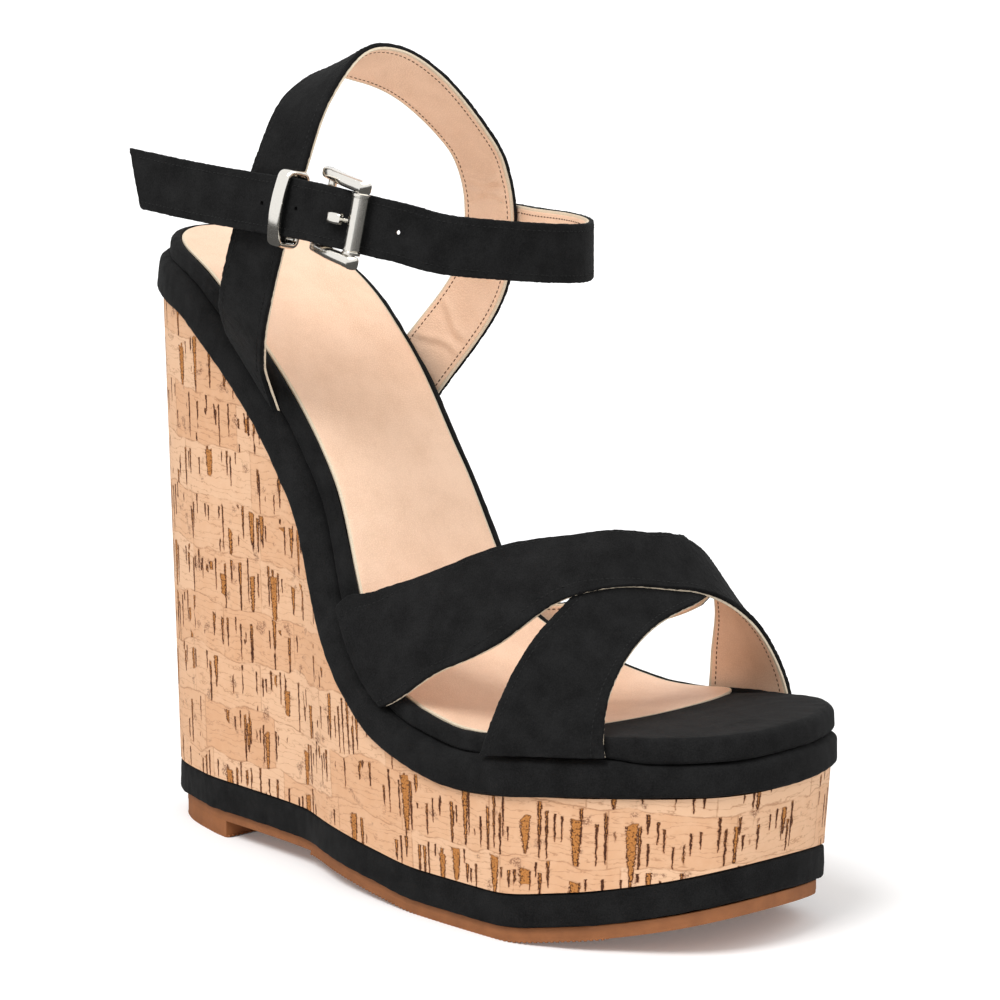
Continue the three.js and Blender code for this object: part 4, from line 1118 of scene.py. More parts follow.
def cork_finish(colours):
    """Cork veneer pieced from blocks, with growth lines, bark slots and rust-coloured grains."""
    finish = Finish("cork", 0.78, **{"Specular IOR Level": 0.18})
    spot = finish.node("ShaderNodeUVMap", {"uv_map": "surface"}).outputs[0]
    place = finish.node("ShaderNodeMapping", {}, {"Vector": spot, "Scale": (1000, 1000, 1)}).outputs[0]
    split = finish.node("ShaderNodeSeparateXYZ", {}, {0: place})
    around, height = Value(finish, split.outputs[0]), Value(finish, split.outputs[1])

    def spot_of(x, y, z=0.0):
        return finish.node("ShaderNodeCombineXYZ", {}, {0: x, 1: y, 2: z}).outputs[0]

    def chance(x, y, z=0.0):
        made = finish.node(
            "ShaderNodeTexWhiteNoise", {"noise_dimensions": "3D"}, {"Vector": spot_of(x, y, z)}
        )
        return Value(finish, made.outputs["Value"])

    upright = finish.node("ShaderNodeMapping", {}, {"Vector": spot, "Scale": (1000, 550, 1)}).outputs[0]
    wander = finish.noise(place, 16, 2, 0.5)
    jagged = finish.noise(upright, 1.0, 4, 0.75)
    rows = (height + wander * 8 + jagged * 0.7) / 14
    row = rows.floor()
    down = 1 - rows.fract()
    blocks = (around + jagged * 0.6) / 33 + chance(row, 3.0) * 7
    block = blocks.floor()
    tint = chance(row, block, 1.0)
    cluster = finish.noise(place, 17, 2, 0.5)
    mottle = finish.noise(place, 4, 4, 0.65)
    speck = finish.noise(place, 0.55, 3, 0.7)
    # Growth lines run level and wave together
    wave = finish.noise(spot_of(around * 0.06, height * 0.2, tint * 40), 1, 4, 0.65)
    lines = ((height * 0.5 + wave * 5 + tint * 9).fract() - 0.5).math("ABSOLUTE")
    line = 1 - lines.smooth(0.0, 0.1)
    across = (blocks.fract() - 0.5).math("ABSOLUTE")
    level = (rows.fract() - 0.5).math("ABSOLUTE")
    joint = across.smooth(0.490, 0.497).math("MAXIMUM", level.smooth(0.480, 0.494))
    joint = joint * mottle.smooth(0.3, 0.6)

    def slots(pitch, often, widest, seed):
        """Upright slots that hang from the top of a row and taper; the wide ones have a rusty core."""
        shifted = (around + jagged * 1.5) / pitch + seed * 0.37
        cell = shifted.floor()
        first, second, third = (chance(cell, row, seed + k) for k in range(3))
        off = (shifted.fract() - 0.3 - second * 0.4).math("ABSOLUTE") * pitch
        part = (down - first * 0.35) / (0.25 + third * 0.75)
        taper = (1 - part).math("MAXIMUM", 0.0).math("POWER", 0.55)
        edge = off - (0.26 + second * third * widest) * taper * (0.1 + speck * 1.8)
        inside = part.smooth(-0.02, 0.02) * (1 - part.smooth(0.94, 1.0))
        here = (chance(cell, row, seed + 5) - (cluster - 0.5) * 2.2).smooth(often + 0.03, often)
        here = here * inside
        hollow = (1 - edge.smooth(-0.04, 0.09)) * here
        grain = (1 - edge.smooth(-0.42, -0.22)) * here
        fringe = (1 - edge.smooth(0.0, 0.35)) * here
        return hollow, grain, fringe

    thin_slot, thin_core, thin_rim = slots(2.2, 0.4, 0.5, 2.0)
    long_slot, long_core, long_rim = slots(4.7, 0.4, 1.7, 9.0)
    slot = thin_slot.math("MAXIMUM", long_slot)
    core = thin_core.math("MAXIMUM", long_core) * speck.smooth(0.36, 0.5)
    rim = thin_rim.math("MAXIMUM", long_rim)
    knot = finish.noise(place, 6, 2, 0.5).smooth(0.62, 0.70) * speck.smooth(0.42, 0.56)

    pale = solid_colour(colours.cork)
    warm = solid_colour(c * f for c, f in zip(colours.cork, (0.88, 0.77, 0.68)))
    brown = solid_colour(c * f for c, f in zip(colours.cork, (0.5, 0.38, 0.3)))
    colour = finish.mix((tint * 0.7 + mottle * 0.8 - 0.35).smooth(0.0, 1.0), pale, warm)
    colour = finish.mix(line * 0.62 * mottle.smooth(0.25, 0.6), colour, brown)
    colour = finish.mix(speck.smooth(0.6, 0.85) * 0.35, colour, brown)
    colour = finish.mix(joint * 0.55, colour, brown)
    colour = finish.mix(rim * 0.75, colour, solid_colour(colours.fringe))
    colour = finish.mix(knot * 0.7, colour, solid_colour(c * 2.2 for c in colours.bark))
    colour = finish.mix(slot, colour, solid_colour(colours.bark))
    colour = finish.mix(core, colour, solid_colour(colours.rust))
    finish.colour(colour)
    finish.relief(1 - slot * 0.8 - joint * 0.25 - line * 0.12 + speck * 0.25, 0.00035, 0.7)
    return finish.material


FINISHES = {}


def finish_of(context, name):
    """One of the sandal's materials, made on first use."""
    colours = context.scene.finish_colours
    makers = {
        "suede": lambda: suede_finish(colours),
        "lining": lambda: leather_finish("lining", colours.lining, 0.00012),
        "cut_edge": lambda: edge_finish(colours),
        "cork": lambda: cork_finish(colours),
        "rubber": lambda: rubber_finish(colours),
        "metal": lambda: metal_finish(colours),
        "brown_thread": lambda: thread_finish("brown_thread", colours.thread),
        "black_thread": lambda: thread_finish("black_thread", colours.dark_thread),
    }
    if name not in FINISHES:
        FINISHES[name] = makers[name]()
    return FINISHES[name]


def round_side(outset, low, high, radius_low, radius_high, inside, steps=7):
    """Levels of a padded slab's side: outsets and heights from its underside to its top."""
    levels = [(outset - inside, low)]
    for k in range(steps):
        angle = math.pi / 2 * k / (steps - 1)
        back, up = radius_low * (1 - math.sin(angle)), radius_low * (1 - math.cos(angle))
        levels.append((outset - back, low + up))
    straight = high - radius_high - low - radius_low
    for k in range(1, 5):
        levels.append((outset, low + radius_low + straight * k / 5))
    for k in range(steps):
        angle = math.pi / 2 * k / (steps - 1)
        back, down = radius_high * (1 - math.cos(angle)), radius_high * (1 - math.sin(angle))
        levels.append((outset - back, high - down))
    levels.append((outset - inside, high))
    return levels


class SANDAL_OT_sole(bpy.types.Operator):
    """Make the rubber sole with its heel block, its tread and the teeth along its edge"""

    bl_idname = "sandal.sole"
    bl_label = "Sole"

    def execute(self, context):
        shape = Shape(context.scene)
        sole = shape.sole
        rubber = finish_of(context, "rubber")
        low = sole.tread
        high = sole.tread + sole.thickness
        inset = sole.inset
        hidden, bevel, rounding = 2.5 * MM, 0.15 * MM, 0.2 * MM
        levels = [(hidden, low), (bevel, low), (0, low + rounding)]
        levels += [(0, high - rounding), (bevel, high), (hidden, high)]
        rings = [shape.bottom_outline(inset + i, lambda x, h=h: shape.lift(x) + h) for i, h in levels]
        sheet = solid("sole_sheet", rings)
        shares = np.linspace(0, 1, 2000)
        ends = shape.bottom_x(shares, inset)
        breast = shares[np.argmax(ends >= shape.heel_end + sole.block_length + inset)]
        deep = inset + sole.tread_inset
        heel = (0.0, float(breast))

        def in_sheet(x):
            """Height of the sheet's middle, where block and tread end."""
            return shape.lift(x) + sole.tread + sole.thickness / 2

        rings = [
            shape.bottom_outline(deep + i, lambda x, h=h: h + 0 * x, 120, *heel)
            for i, h in ((1.5 * MM, 0), (0.2 * MM, 0), (0, 0.3 * MM))
        ]
        rings.append(shape.bottom_outline(deep, in_sheet, 120, *heel))
        block = solid("sole_block", rings)
        rings = [
            shape.bottom_outline(
                deep + i, lambda x, h=h: shape.lift(x) + h * (sole.tread + sole.thickness / 2), 200, *TREAD
            )
            for i, h in ((1.5 * MM, 0), (bevel, 0), (0, 0.1), (0, 1))
        ]
        tread = solid("sole_tread", rings)
        whole = joined("sole", [sheet, block, tread])
        finished(whole, "rubber", "outsole", rubber)
        teeth_inset = deep + 0.25 * MM
        teeth_lines = [
            shape.bottom_outline(teeth_inset, lambda x: shape.lift(x) + 0.05 * MM, 400, *TEETH),
            shape.bottom_outline(teeth_inset, lambda x: 0 * x + 0.28 * MM, 160, *heel),
        ]
        teeth = repeated(
            "sole_teeth",
            teeth_lines,
            repeat_tree("teeth", tooth_shape),
            rubber,
            {"Pitch": sole.tooth_pitch, "Length": sole.tooth_pitch * 0.5, "Thickness": sole.tread * 0.6},
        )
        finished(teeth, "rubber")
        return {"FINISHED"}


class SANDAL_OT_wedge(bpy.types.Operator):
    """Make the cork wedge and the suede band under it"""

    bl_idname = "sandal.wedge"
    bl_label = "Wedge"

    def execute(self, context):
        shape = Shape(context.scene)
        bed, sole = shape.bed, shape.sole
        low = sole.tread + sole.thickness + bed.gap
        levels = round_side(0, low, low + bed.band, 0.9 * MM, 0.9 * MM, 4 * MM, 5)
        rings = [shape.bottom_outline(-i, lambda x, h=h: shape.lift(x) + h, 420) for i, h in levels]
        band = solid("base_band_cover", rings)
        roughen(band, 0.00015, 0.0025)
        roughen(band, 0.0002, 0.012)
        finished(band, "suede", "base_band", finish_of(context, "suede"))
        foot = shape.bottom_outline(0, lambda x: shape.lift(x) + low + bed.band + bed.gap, 300)
        head = shape.outline(bed.rim_overhang - bed.cork_inset, shape.rim_bottom - bed.gap, 300)
        parts = np.linspace(0, 1, 40)
        rings = [foot * (1 - p) + head * p for p in parts]
        steps = np.linalg.norm(np.diff(np.vstack([foot, foot[:1]]), axis=0), axis=1)
        around = np.concatenate([[0], np.cumsum(steps)])
        cork = solid("cork_cover", rings, around, parts * 0.1)
        lift_uv(cork)
        finished(cork, "cork", "cork_wedge", finish_of(context, "cork"))
        return {"FINISHED"}


def lift_uv(piece):
    """Sets the height on a cork piece's own map to its real height over the floor."""
    mesh = piece.data
    corner = np.zeros(len(mesh.loops), np.int32)
    mesh.loops.foreach_get("vertex_index", corner)
    place = np.zeros(len(mesh.vertices) * 3, np.float32)
    mesh.vertices.foreach_get("co", place)
    layer = mesh.uv_layers["surface"].data
    uv = np.zeros(len(mesh.loops) * 2, np.float32)
    layer.foreach_get("uv", uv)
    uv = uv.reshape(-1, 2)
    uv[:, 1] = place.reshape(-1, 3)[corner, 2]
    layer.foreach_set("uv", uv.ravel())


class SANDAL_OT_footbed(bpy.types.Operator):
    """Make the padded rim, the cushion and the leather sock on it"""

    bl_idname = "sandal.footbed"
    bl_label = "Footbed"

    def execute(self, context):
        shape = Shape(context.scene)
        bed = shape.bed
        suede = finish_of(context, "suede")
        low, high = shape.rim_bottom, shape.rim_top
        levels = round_side(bed.rim_overhang, low, high, 1.6 * MM, bed.rim_rounding, 8 * MM)
        drop = shape.toe_part(crowded(PADDED_POINTS)) * bed.toe_drop
        rings = [shape.outline(i, h - drop * (h - low) / (high - low), PADDED_POINTS) for i, h in levels]
        rim = solid("rim_roll", rings, angle=60)
        roughen(rim, 0.0005, 0.018)
        roughen(rim, 0.00016, 0.003)
        finished(rim, "suede", "footbed_rim", suede)
        pad = self.pad(shape)
        roughen(pad, 0.0004, 0.02)
        roughen(pad, 0.00012, 0.003)
        finished(pad, "suede", "footbed_pad", suede)
        self.sock(context, shape)
        return {"FINISHED"}

    def pad(self, shape):
        """The cushion: a soft bead round the sock that widens into a full cushion under the toes."""
        bed = shape.bed
        low, sunk = -shape.groove, -bed.sock - bed.gap
        high = sunk + bed.bead
        count = PADDED_POINTS
        share = crowded(count)
        toes = eased(share, *TOE_CUSHION)
        levels = round_side(bed.pad_overhang, low, high, 1.0 * MM, bed.pad_rounding, 7 * MM)[:-1]
        swell = shape.toe_part(share)
        rings = [
            shape.outline(
                i + bed.toe_swell * swell, h - bed.toe_drop * swell * (high - h) / (high - low), count
            )
            for i, h in levels
        ]
        for outset, part in ((0.7, 0.1), (0.35, 0.5), (0.1, 1.0), (-3.0, 1.0), (-8.0, 1.0)):
            rings.append(shape.outline(outset * MM, high - (high - sunk) * part * (1 - toes), count))
        return solid("foot_cushion", rings, angle=60)

    def sock(self, context, shape):
        """The sock with its arc cut, a pale cut edge and a slightly rolled border."""
        bed = shape.bed
        cut = SOCK_CUT
        rear = cut["outer"] * np.linspace(0, 1, 300) ** 1.5
        front = cut["middle"] - (cut["middle"] - cut["outer"]) * (1 - np.linspace(0, 1, 60)) ** 2
        share = np.concatenate([rear, front[1:]])

        def outline(inset, height):
            edges = []
            for side, key in ((OUTER, "outer"), (INNER, "inner")):
                past = np.clip((share - cut[key]) / (cut["middle"] - cut[key]), 0, 1)
                width = shape.half_width(side, share) * np.sqrt(np.maximum(0, 1 - past**2))
                width = side * np.maximum(0, np.abs(width) - inset)
                near = share.copy()
                near[-1] = share[-1] - inset / shape.arc
                near[0] = inset / shape.arc
                edges.append(shape.over_footbed(shape.run_of(near, 0), width, height))
            return np.vstack([edges[0], edges[1][::-1]])

        base = -bed.sock + 0.05 * MM
        edge_levels = ((0.3 * MM, base), (0, base + 0.2 * MM), (0, -0.3 * MM), (0.25 * MM, -0.1 * MM))
        body = solid("sock_edge", [outline(i, h) for i, h in edge_levels])
        finished(body, "lining", None, finish_of(context, "cut_edge"))
        # Insets and heights of the leather's top, in millimetres
        levels = ((0.7, -0.32), (0.72, -0.06), (1.0, 0.0), (2.0, 0.02), (3.0, 0.0))
        top = solid("sock_leather", [outline(i * MM, h * MM) for i, h in levels])
        finished(top, "lining", "insole_sock", finish_of(context, "lining"))


def dress_strap(context, shape, name, surface, path_length, width, node, holes=(), inside=None):
    """Suede, lining, cut edge and seams of one strap, whose suede stands for a node."""
    strap = shape.strap
    half = strap.wall / 2
    split = half - strap.suede
    fine = np.linspace(0, 1, int(path_length / 0.0007))
    coarse = np.linspace(0, 1, int(path_length / 0.0014))
    inside = inside or surface

    def inset(layer, margin):
        return lambda share, across: layer(share, margin / width + across * (1 - 2 * margin / width))

    suede = strap_layer(name + "_suede", surface, fine, width, half, split, 0.5 * MM)
    roughen(suede, 0.00018, 0.0008)
    back, border, rounding = 0.1 * MM, strap.border, 0.15 * MM
    edge_top, edge_bottom = split + 0.05 * MM, rounding - half
    edge = strap_layer(
        name + "_edge", inset(inside, back), coarse, width - 2 * back, edge_top, edge_bottom, rounding
    )
    lining_width, lining_top = width - 2 * border, split - 0.1 * MM
    lining = strap_layer(
        name + "_lining", inset(inside, border), fine, lining_width, lining_top, -half, rounding
    )
    for piece in (suede, lining, edge):
        if holes:
            pierce(piece, holes)
    finished(suede, "suede", node, finish_of(context, "suede"))
    finished(lining, "lining", None, finish_of(context, "lining"))
    finished(edge, "lining", None, finish_of(context, "cut_edge"))
    sizes = {"Pitch": strap.stitch_pitch, "Length": strap.stitch_length, "Thickness": strap.thread}
    tree = bpy.data.node_groups.get("stitches") or repeat_tree("stitches", stitch_shape)
    span = np.linspace(0.012, 0.988, len(fine))
    for suffix, layer, height, thread, slot in (
        ("_outer_seam", surface, half - 0.05 * MM, "black_thread", "suede"),
        ("_inner_seam", inside, 0.04 * MM - half, "brown_thread", "lining"),
    ):
        lines = seam_lines(layer, span, width, strap.seam_inset, height)
        seam = repeated(name + suffix, lines, tree, finish_of(context, thread), sizes)
        finished(seam, slot)


def pierce(piece, holes):
    """Cuts round holes through a strap; each hole is a middle, a direction and a radius."""
    work = bmesh.new()
    for middle, through, radius in holes:
        turn = Vector(through).to_track_quat("Z", "Y").to_matrix().to_4x4()
        turn.translation = Vector(middle)
        sizes = {"radius1": radius, "radius2": radius, "depth": 8 * MM}
        bmesh.ops.create_cone(work, cap_ends=True, segments=20, matrix=turn, **sizes)
    mesh = bpy.data.meshes.new("punch")
    work.to_mesh(mesh)
    work.free()
    punch = placed_in_scene("punch", mesh)
    cut = piece.modifiers.new("holes", "BOOLEAN")
    cut.operation = "DIFFERENCE"
    cut.solver = "EXACT"
    cut.object = punch
    graph = bpy.context.evaluated_depsgraph_get()
    pierced = bpy.data.meshes.new_from_object(piece.evaluated_get(graph), depsgraph=graph)
    piece.modifiers.clear()
    piece.data = pierced
    bpy.data.objects.remove(punch)


class SANDAL_OT_vamp(bpy.types.Operator):
    """Make the two crossed straps over the forefoot"""

    bl_idname = "sandal.vamp"
    bl_label = "Vamp straps"

    def execute(self, context):
        shape = Shape(context.scene)
        straps = (("under_strap", UNDER_STRAP, None), ("over_strap", OVER_STRAP, "vamp_straps"))
        for name, rows, node in straps:
            surface = shape.vamp_surface(rows)
            line = surface(np.linspace(0, 1, 200), np.array([0.5]))[0][:, 0]
            path_length = np.linalg.norm(np.diff(line, axis=0), axis=1).sum()
            dress_strap(context, shape, name, surface, path_length, VAMP_WIDTH, node)
        return {"FINISHED"}


class SANDAL_OT_heel_loop(bpy.types.Operator):
    """Make the strap that stands over the heel seat"""

    bl_idname = "sandal.heel_loop"
    bl_label = "Heel loop"

    def execute(self, context):
        shape = Shape(context.scene)
        surface, inside = shape.loop_surface(), shape.loop_surface(LOOP_FOLDS)
        sizes = (shape.loop.length, shape.strap.loop_width)
        dress_strap(context, shape, "heel_loop", surface, *sizes, "heel_loop", inside=inside)
        return {"FINISHED"}


class SANDAL_OT_ankle_strap(bpy.types.Operator):
    """Make the ankle strap with its holes"""

    bl_idname = "sandal.ankle_strap"
    bl_label = "Ankle strap"

    def execute(self, context):
        shape = Shape(context.scene)
        strap, buckle = shape.strap, shape.buckle
        surface = shape.ankle_surface()
        first = shape.ankle_share(buckle.prong_hole)
        holes = []
        for place in OPEN_HOLES:
            share = first + place * strap.hole_spacing / shape.ankle.length
            middle, out = surface(np.array([share]), np.array([0.5]))
            holes.append((middle[0, 0], out[0, 0], strap.hole))
        sizes = (shape.ankle.length, strap.ankle_width)
        dress_strap(context, shape, "ankle_strap", surface, *sizes, "ankle_strap", holes=holes)
        return {"FINISHED"}


class SANDAL_OT_buckle(bpy.types.Operator):
    """Make the buckle with its tab, roller and prong, and the keeper"""

    bl_idname = "sandal.buckle"
    bl_label = "Buckle"

    def execute(self, context):
        shape = Shape(context.scene)
        buckle, strap = shape.buckle, shape.strap
        metal = finish_of(context, "metal")
        self.place = shape.outer_place
        self.axes = self.place[1]
        finished(self.tab(shape), "suede", "buckle_tab", finish_of(context, "suede"))
        arm_side = strap.ankle_width / 2 + buckle.gap + buckle.arm_width / 2
        finished(self.frame(shape, arm_side), "metal", "buckle_frame", metal)
        finished(self.roller(shape, arm_side), "metal", "buckle_roller", metal)
        finished(self.prong(shape), "metal", "buckle_prong", metal)
        finished(self.keeper(shape), "metal", "strap_keeper", metal)
        return {"FINISHED"}

    def world(self, points):
        """Points of the buckle's own frame on the sandal."""
        return Shape.placed(self.place, points)

    def tab(self, shape):
        """The tab, folded round the rear bar."""
        buckle = shape.buckle
        radius = shape.eye_inside + buckle.tab_wall / 2
        turn = np.linspace(-math.pi / 2, math.pi / 2, 24)
        start = np.linspace(-buckle.tab_lap, buckle.bar_setout, 50)
        outside = shape.bar_side - radius
        inside = shape.bar_side + radius
        bar = buckle.bar_setout
        line = [(x, outside) for x in start]
        line += [(bar + radius * math.cos(a), shape.bar_side + radius * math.sin(a)) for a in turn[1:]]
        line += [(x, inside) for x in np.linspace(bar, bar - buckle.tab_return, 10)[1:]]
        line = np.array(line)
        way = unit(np.gradient(line, axis=0))
        centres = self.world(np.c_[line, shape.rise(line[:, 0])])
        ups = way[:, :1] * self.axes[1] - way[:, 1:] * self.axes[0]
        sides = np.tile(self.axes[2], (len(line), 1))
        section = rounded(buckle.tab_width, buckle.tab_wall, 0.4 * MM)
        return swept("buckle_tab_fold", section, centres, sides, ups)

    @staticmethod
    def slant(shape, x):
        """How far the frame lies over the strap's straight line: it stands higher at the rear bar."""
        return shape.buckle.lifted + shape.buckle.slope * (shape.roller_setout - x)

    def frame(self, shape, arm_side):
        """Two bars and two bowed arms with squared front ends."""
        buckle = shape.buckle
        rear = np.array([buckle.bar_setout, shape.bar_side])
        front = np.array([shape.roller_setout, shape.roller_side])
        span = np.linalg.norm(front - rear)
        way = (front - rear) / span
        across = np.array([-way[1], way[0]])
        reach = buckle.arm_depth / 2
        rear_end = reach + 2.9 * MM
        marks = [-rear_end, -rear_end * 0.93, -rear_end * 0.75, 0]
        marks += [0.2 * span, 0.4 * span, 0.6 * span, 0.8 * span]
        marks += [span - 1.35 * MM, span - 1.2 * MM, span - 1.05 * MM]
        marks += [span + reach - 0.15 * MM, span + reach]
        scales = [0.5, 0.78, 0.95, 1, 1, 1, 1, 1, 1, 0.88, 1.06, 1.06, 0.94]
        pieces = []
        for side in (-1, 1):
            line = []
            for mark in marks:
                bow = -0.7 * MM * math.sin(math.pi * min(1, max(0, mark / span)))
                x, y = rear + way * mark + across * bow
                line.append((x, y, side * arm_side + self.slant(shape, x)))
            centres = self.world(line)
            ups = np.tile(across[0] * self.axes[0] + across[1] * self.axes[1], (len(marks), 1))
            sides = np.tile(self.axes[2], (len(marks), 1))
            section = pillow(buckle.arm_width, buckle.arm_depth)
            pieces.append(swept("arm", section, centres, sides, ups, scales, angle=32))
        for spot in (rear, front):
            ends = np.linspace(-arm_side, arm_side, 8)
            centres = self.world([(*spot, z + self.slant(shape, spot[0])) for z in ends])
            bar = rounded(2 * buckle.bar_radius, 2 * buckle.bar_radius, buckle.bar_radius * 0.98)
            axes = np.tile(self.axes[0], (len(ends), 1)), np.tile(self.axes[1], (len(ends), 1))
            pieces.append(swept("bar", bar, centres, *axes))
        return joined("buckle_frame_body", pieces)

    def roller(self, shape, arm_side):
        """A tube folded from sheet, flatter on its face, with a rim at each end."""
        buckle = shape.buckle
        half = arm_side - buckle.arm_width / 2 - 0.15 * MM
        marks = [-half + step * MM for step in (0, 0.1, 0.7, 0.8, 1.0, 1.1)]
        marks += [0] + [-m for m in reversed(marks)]
        scales = [1.0, 1.08, 1.08, 0.93, 0.93, 1.0, 1.0, 1.0, 0.93, 0.93, 1.08, 1.08, 1.0]
        spot = (shape.roller_setout, shape.roller_side)
        centres = self.world([(*spot, z + buckle.lifted) for z in marks])
        size = 2 * shape.roller_radius
        section = rounded(size, size, shape.roller_radius * 0.5, 5)
        tilt = math.radians(-24)
        first = math.cos(tilt) * self.axes[0] + math.sin(tilt) * self.axes[1]
        second = -math.sin(tilt) * self.axes[0] + math.cos(tilt) * self.axes[1]
        axes = np.tile(first, (len(marks), 1)), np.tile(second, (len(marks), 1))
        return swept("buckle_roller_tube", section, centres, *axes, scales, angle=30)

    def prong(self, shape):
        """The prong's eye and its rod with a blunt tip."""
        buckle = shape.buckle
        ring = shape.eye_inside + buckle.eye_wall / 2
        turn = np.linspace(0, 2 * math.pi, 28, endpoint=False)
        bar, side, rise = buckle.bar_setout, shape.bar_side, shape.strap.ankle_rise
        centres = self.world([(bar + ring * math.cos(a), side + ring * math.sin(a), rise) for a in turn])
        ups = [math.cos(a) * self.axes[0] + math.sin(a) * self.axes[1] for a in turn]
        sides = np.tile(self.axes[2], (len(turn), 1))
        section = rounded(2 * buckle.prong_radius, buckle.eye_wall, 0.3 * MM)
        eye = swept("eye", section, centres, sides, ups, closed=True)
        surface = shape.tail_middle - shape.strap.wall / 2
        hole = buckle.prong_hole
        rest = shape.roller_side + buckle.prong_radius / 2
        route = (
            (buckle.bar_setout + ring, shape.bar_side - buckle.eye_wall, 1.0),
            (hole - 0.6 * MM, shape.tail_middle + 0.8 * MM, 1.0),
            (hole + 0.8 * MM, surface - 0.1 * MM, 1.25),
            (hole + 1.6 * MM, surface - 0.6 * MM, 1.6),
            (hole + 4.3 * MM, surface - 0.9 * MM, 1.6),
            (hole + 4.6 * MM, surface - 0.8 * MM, 1.45),
            (hole + 4.7 * MM, surface - 0.5 * MM, 0.7),
            (hole + 5.2 * MM, surface + 0.4 * MM, 0.6),
            (buckle.bar_setout + buckle.prong_length + 0.4 * MM, rest, 0.5),
        )
        line = np.array([(x, y) for x, y, size in route])
        way = unit(np.gradient(line, axis=0))
        ups = -way[:, 1:] * self.axes[0] + way[:, :1] * self.axes[1]
        sides = np.tile(self.axes[2], (len(line), 1))
        size = 2 * buckle.prong_radius
        centres = self.world(np.c_[line, shape.rise(line[:, 0])])
        scales = [size for x, y, size in route]
        rod = swept("rod", rounded(size, size, 0.35 * MM), centres, sides, ups, scales, angle=30)
        return joined("buckle_prong_rod", [eye, rod])

    def keeper(self, shape):
        """The closed metal loop, bowed outwards over the strap."""
        buckle, strap = shape.buckle, shape.strap
        bulge = 0.9 * MM
        half = strap.ankle_width / 2 + 2 * buckle.gap + buckle.keeper_wall / 2
        near = shape.tail_middle - strap.wall / 2 - buckle.gap - buckle.keeper_wall / 2
        far = shape.tab_inside + buckle.gap + buckle.keeper_wall / 2
        radius = 1.5 * MM
        line, outward = [], []
        corners = ((far, -half, -90), (far, half, 0), (near, half, 90), (near, -half, 180))
        for index, (y, z, start) in enumerate(corners):
            sign_y = 1 if y == far else -1
            sign_z = 1 if z > 0 else -1
            for k in range(7):
                angle = math.radians(start + 90 * k / 6)
                way = (math.cos(angle), math.sin(angle))
                line.append((y - sign_y * radius + radius * way[0], z - sign_z * radius + radius * way[1]))
                outward.append(way)
            if index == 2:
                for z_part in np.linspace(half - radius, -half + radius, 16)[1:-1]:
                    bow = bulge * (1 - (z_part / (half - radius)) ** 2)
                    lean = 2 * bulge * z_part / (half - radius) ** 2
                    line.append((near - bow, z_part))
                    outward.append((-1, lean))
        outward = unit(np.array(outward))
        centres = self.world([(buckle.keeper_setout, y, z + buckle.keeper_raise) for y, z in line])
        ups = outward[:, :1] * self.axes[1] + outward[:, 1:] * self.axes[2]
        sides = np.tile(self.axes[0], (len(line), 1))
        section = pillow(buckle.keeper_width, buckle.keeper_wall)
        return swept("strap_keeper_band", section, centres, sides, ups, closed=True, angle=35)


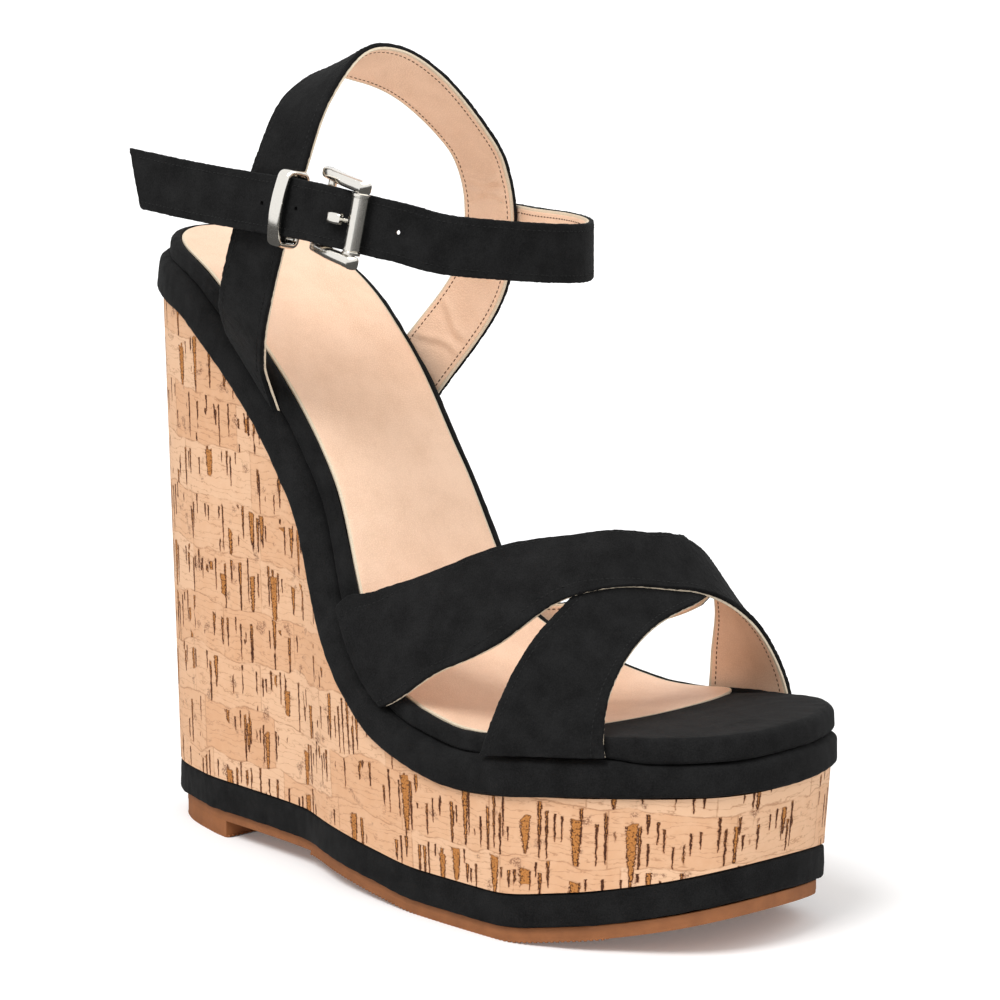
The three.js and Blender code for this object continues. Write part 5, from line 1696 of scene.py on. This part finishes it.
class SANDAL_OT_stage(bpy.types.Operator):
    """Set the floor, the lamps and the camera"""

    bl_idname = "sandal.stage"
    bl_label = "Stage"

    def execute(self, context):
        scene = context.scene
        stage = scene.stage_settings
        bpy.ops.mesh.primitive_plane_add(size=12, location=(0.09, 0, 0))
        floor = context.object
        floor.name = "floor"
        pale = Finish("pale_floor", 0.9, **{"Base Color": (0.93, 0.93, 0.93, 1), "Specular IOR Level": 0.1})
        pale.shader.inputs["Emission Color"].default_value = (1, 1, 1, 1)
        pale.shader.inputs["Emission Strength"].default_value = 0.12
        dark = pale.node("ShaderNodeEmission", {}, {"Color": (0.1, 0.098, 0.095, 1), "Strength": 1.0})
        ray = pale.node("ShaderNodeLightPath")
        sockets = {0: ray.outputs["Is Glossy Ray"], 1: pale.shader.outputs[0], 2: dark.outputs[0]}
        mixed = pale.node("ShaderNodeMixShader", {}, sockets)
        end = next(node for node in pale.tree.nodes if node.type == "OUTPUT_MATERIAL")
        pale.tree.links.new(mixed.outputs[0], end.inputs["Surface"])
        floor.data.materials.append(pale.material)
        world = bpy.data.worlds.new("surround")
        world.use_nodes = True
        nodes, link = world.node_tree.nodes, world.node_tree.links.new
        soft = nodes["Background"]
        soft.inputs["Color"].default_value = (1, 1, 1, 1)
        soft.inputs["Strength"].default_value = stage.sky
        white = nodes.new("ShaderNodeBackground")
        white.inputs["Color"].default_value = (1, 1, 1, 1)
        ray, choice = nodes.new("ShaderNodeLightPath"), nodes.new("ShaderNodeMixShader")
        seen = nodes.new("ShaderNodeMath")
        seen.operation = "MAXIMUM"
        link(ray.outputs["Is Camera Ray"], seen.inputs[0])
        link(ray.outputs["Is Glossy Ray"], seen.inputs[1])
        link(seen.outputs[0], choice.inputs[0])
        link(soft.outputs[0], choice.inputs[1])
        link(white.outputs[0], choice.inputs[2])
        link(choice.outputs[0], nodes["World Output"].inputs["Surface"])
        scene.world = world
        target = Vector(stage.target)
        a, e = stage.azimuth, stage.elevation
        back = Vector((math.sin(a) * math.cos(e), -math.cos(a) * math.cos(e), math.sin(e)))
        camera = bpy.data.cameras.new("camera")
        camera.lens = stage.lens
        camera.sensor_width = 36
        camera.clip_start = 0.05
        camera.clip_end = 50
        view = bpy.data.objects.new("camera", camera)
        view.location = target + back * stage.distance
        view.rotation_mode = "QUATERNION"
        view.rotation_quaternion = (-back).to_track_quat("-Z", "Y")
        scene.collection.objects.link(view)
        scene.camera = view
        for name, power, spot, spread in (
            ("key_lamp", stage.key, (0.1, -0.8, 1.15), 30),
            ("top_lamp", stage.fill, (0.75, 0.1, 1.1), 80),
        ):
            lamp = bpy.data.lights.new(name, "SUN")
            lamp.energy = power
            lamp.angle = math.radians(spread)
            lit = bpy.data.objects.new(name, lamp)
            lit.location = spot
            lit.rotation_mode = "QUATERNION"
            lit.rotation_quaternion = (-lit.location).to_track_quat("-Z", "Y")
            scene.collection.objects.link(lit)
        scene.view_settings.view_transform = "Standard"
        return {"FINISHED"}


class SANDAL_PT_sidebar(bpy.types.Panel):
    """The sandal's sizes and pieces"""

    bl_label = "Platform wedge sandal"
    bl_idname = "SANDAL_PT_sidebar"
    bl_space_type = "VIEW_3D"
    bl_region_type = "UI"
    bl_category = "Sandal"

    def draw(self, context):
        for operator in PIECES:
            self.layout.operator(operator.bl_idname)
        for name, group in GROUPS.items():
            box = self.layout.box()
            box.label(text=group.__doc__)
            for key in group.__annotations__:
                box.prop(getattr(context.scene, name), key)


PIECES = (
    SANDAL_OT_sole,
    SANDAL_OT_wedge,
    SANDAL_OT_footbed,
    SANDAL_OT_vamp,
    SANDAL_OT_heel_loop,
    SANDAL_OT_ankle_strap,
    SANDAL_OT_buckle,
    SANDAL_OT_stage,
)
GROUPS = {
    "footbed_sizes": FootbedSizes,
    "sole_sizes": SoleSizes,
    "strap_sizes": StrapSizes,
    "buckle_sizes": BuckleSizes,
    "finish_colours": FinishColours,
    "stage_settings": StageSettings,
}


def register():
    """Adds the sizes, the operators and the panel."""
    for group in GROUPS.values():
        bpy.utils.register_class(group)
    for operator in PIECES:
        bpy.utils.register_class(operator)
    bpy.utils.register_class(SANDAL_PT_sidebar)
    for name, group in GROUPS.items():
        setattr(bpy.types.Scene, name, bpy.props.PointerProperty(type=group))


def unregister():
    """Takes them away again."""
    for name in GROUPS:
        delattr(bpy.types.Scene, name)
    bpy.utils.unregister_class(SANDAL_PT_sidebar)
    for operator in reversed(PIECES):
        bpy.utils.unregister_class(operator)
    for group in reversed(list(GROUPS.values())):
        bpy.utils.unregister_class(group)


def main():
    """Makes every piece and sets the stage."""
    register()
    bpy.ops.sandal.sole()
    bpy.ops.sandal.wedge()
    bpy.ops.sandal.footbed()
    bpy.ops.sandal.vamp()
    bpy.ops.sandal.heel_loop()
    bpy.ops.sandal.ankle_strap()
    bpy.ops.sandal.buckle()
    bpy.ops.sandal.stage()


if __name__ == "__main__":
    main()
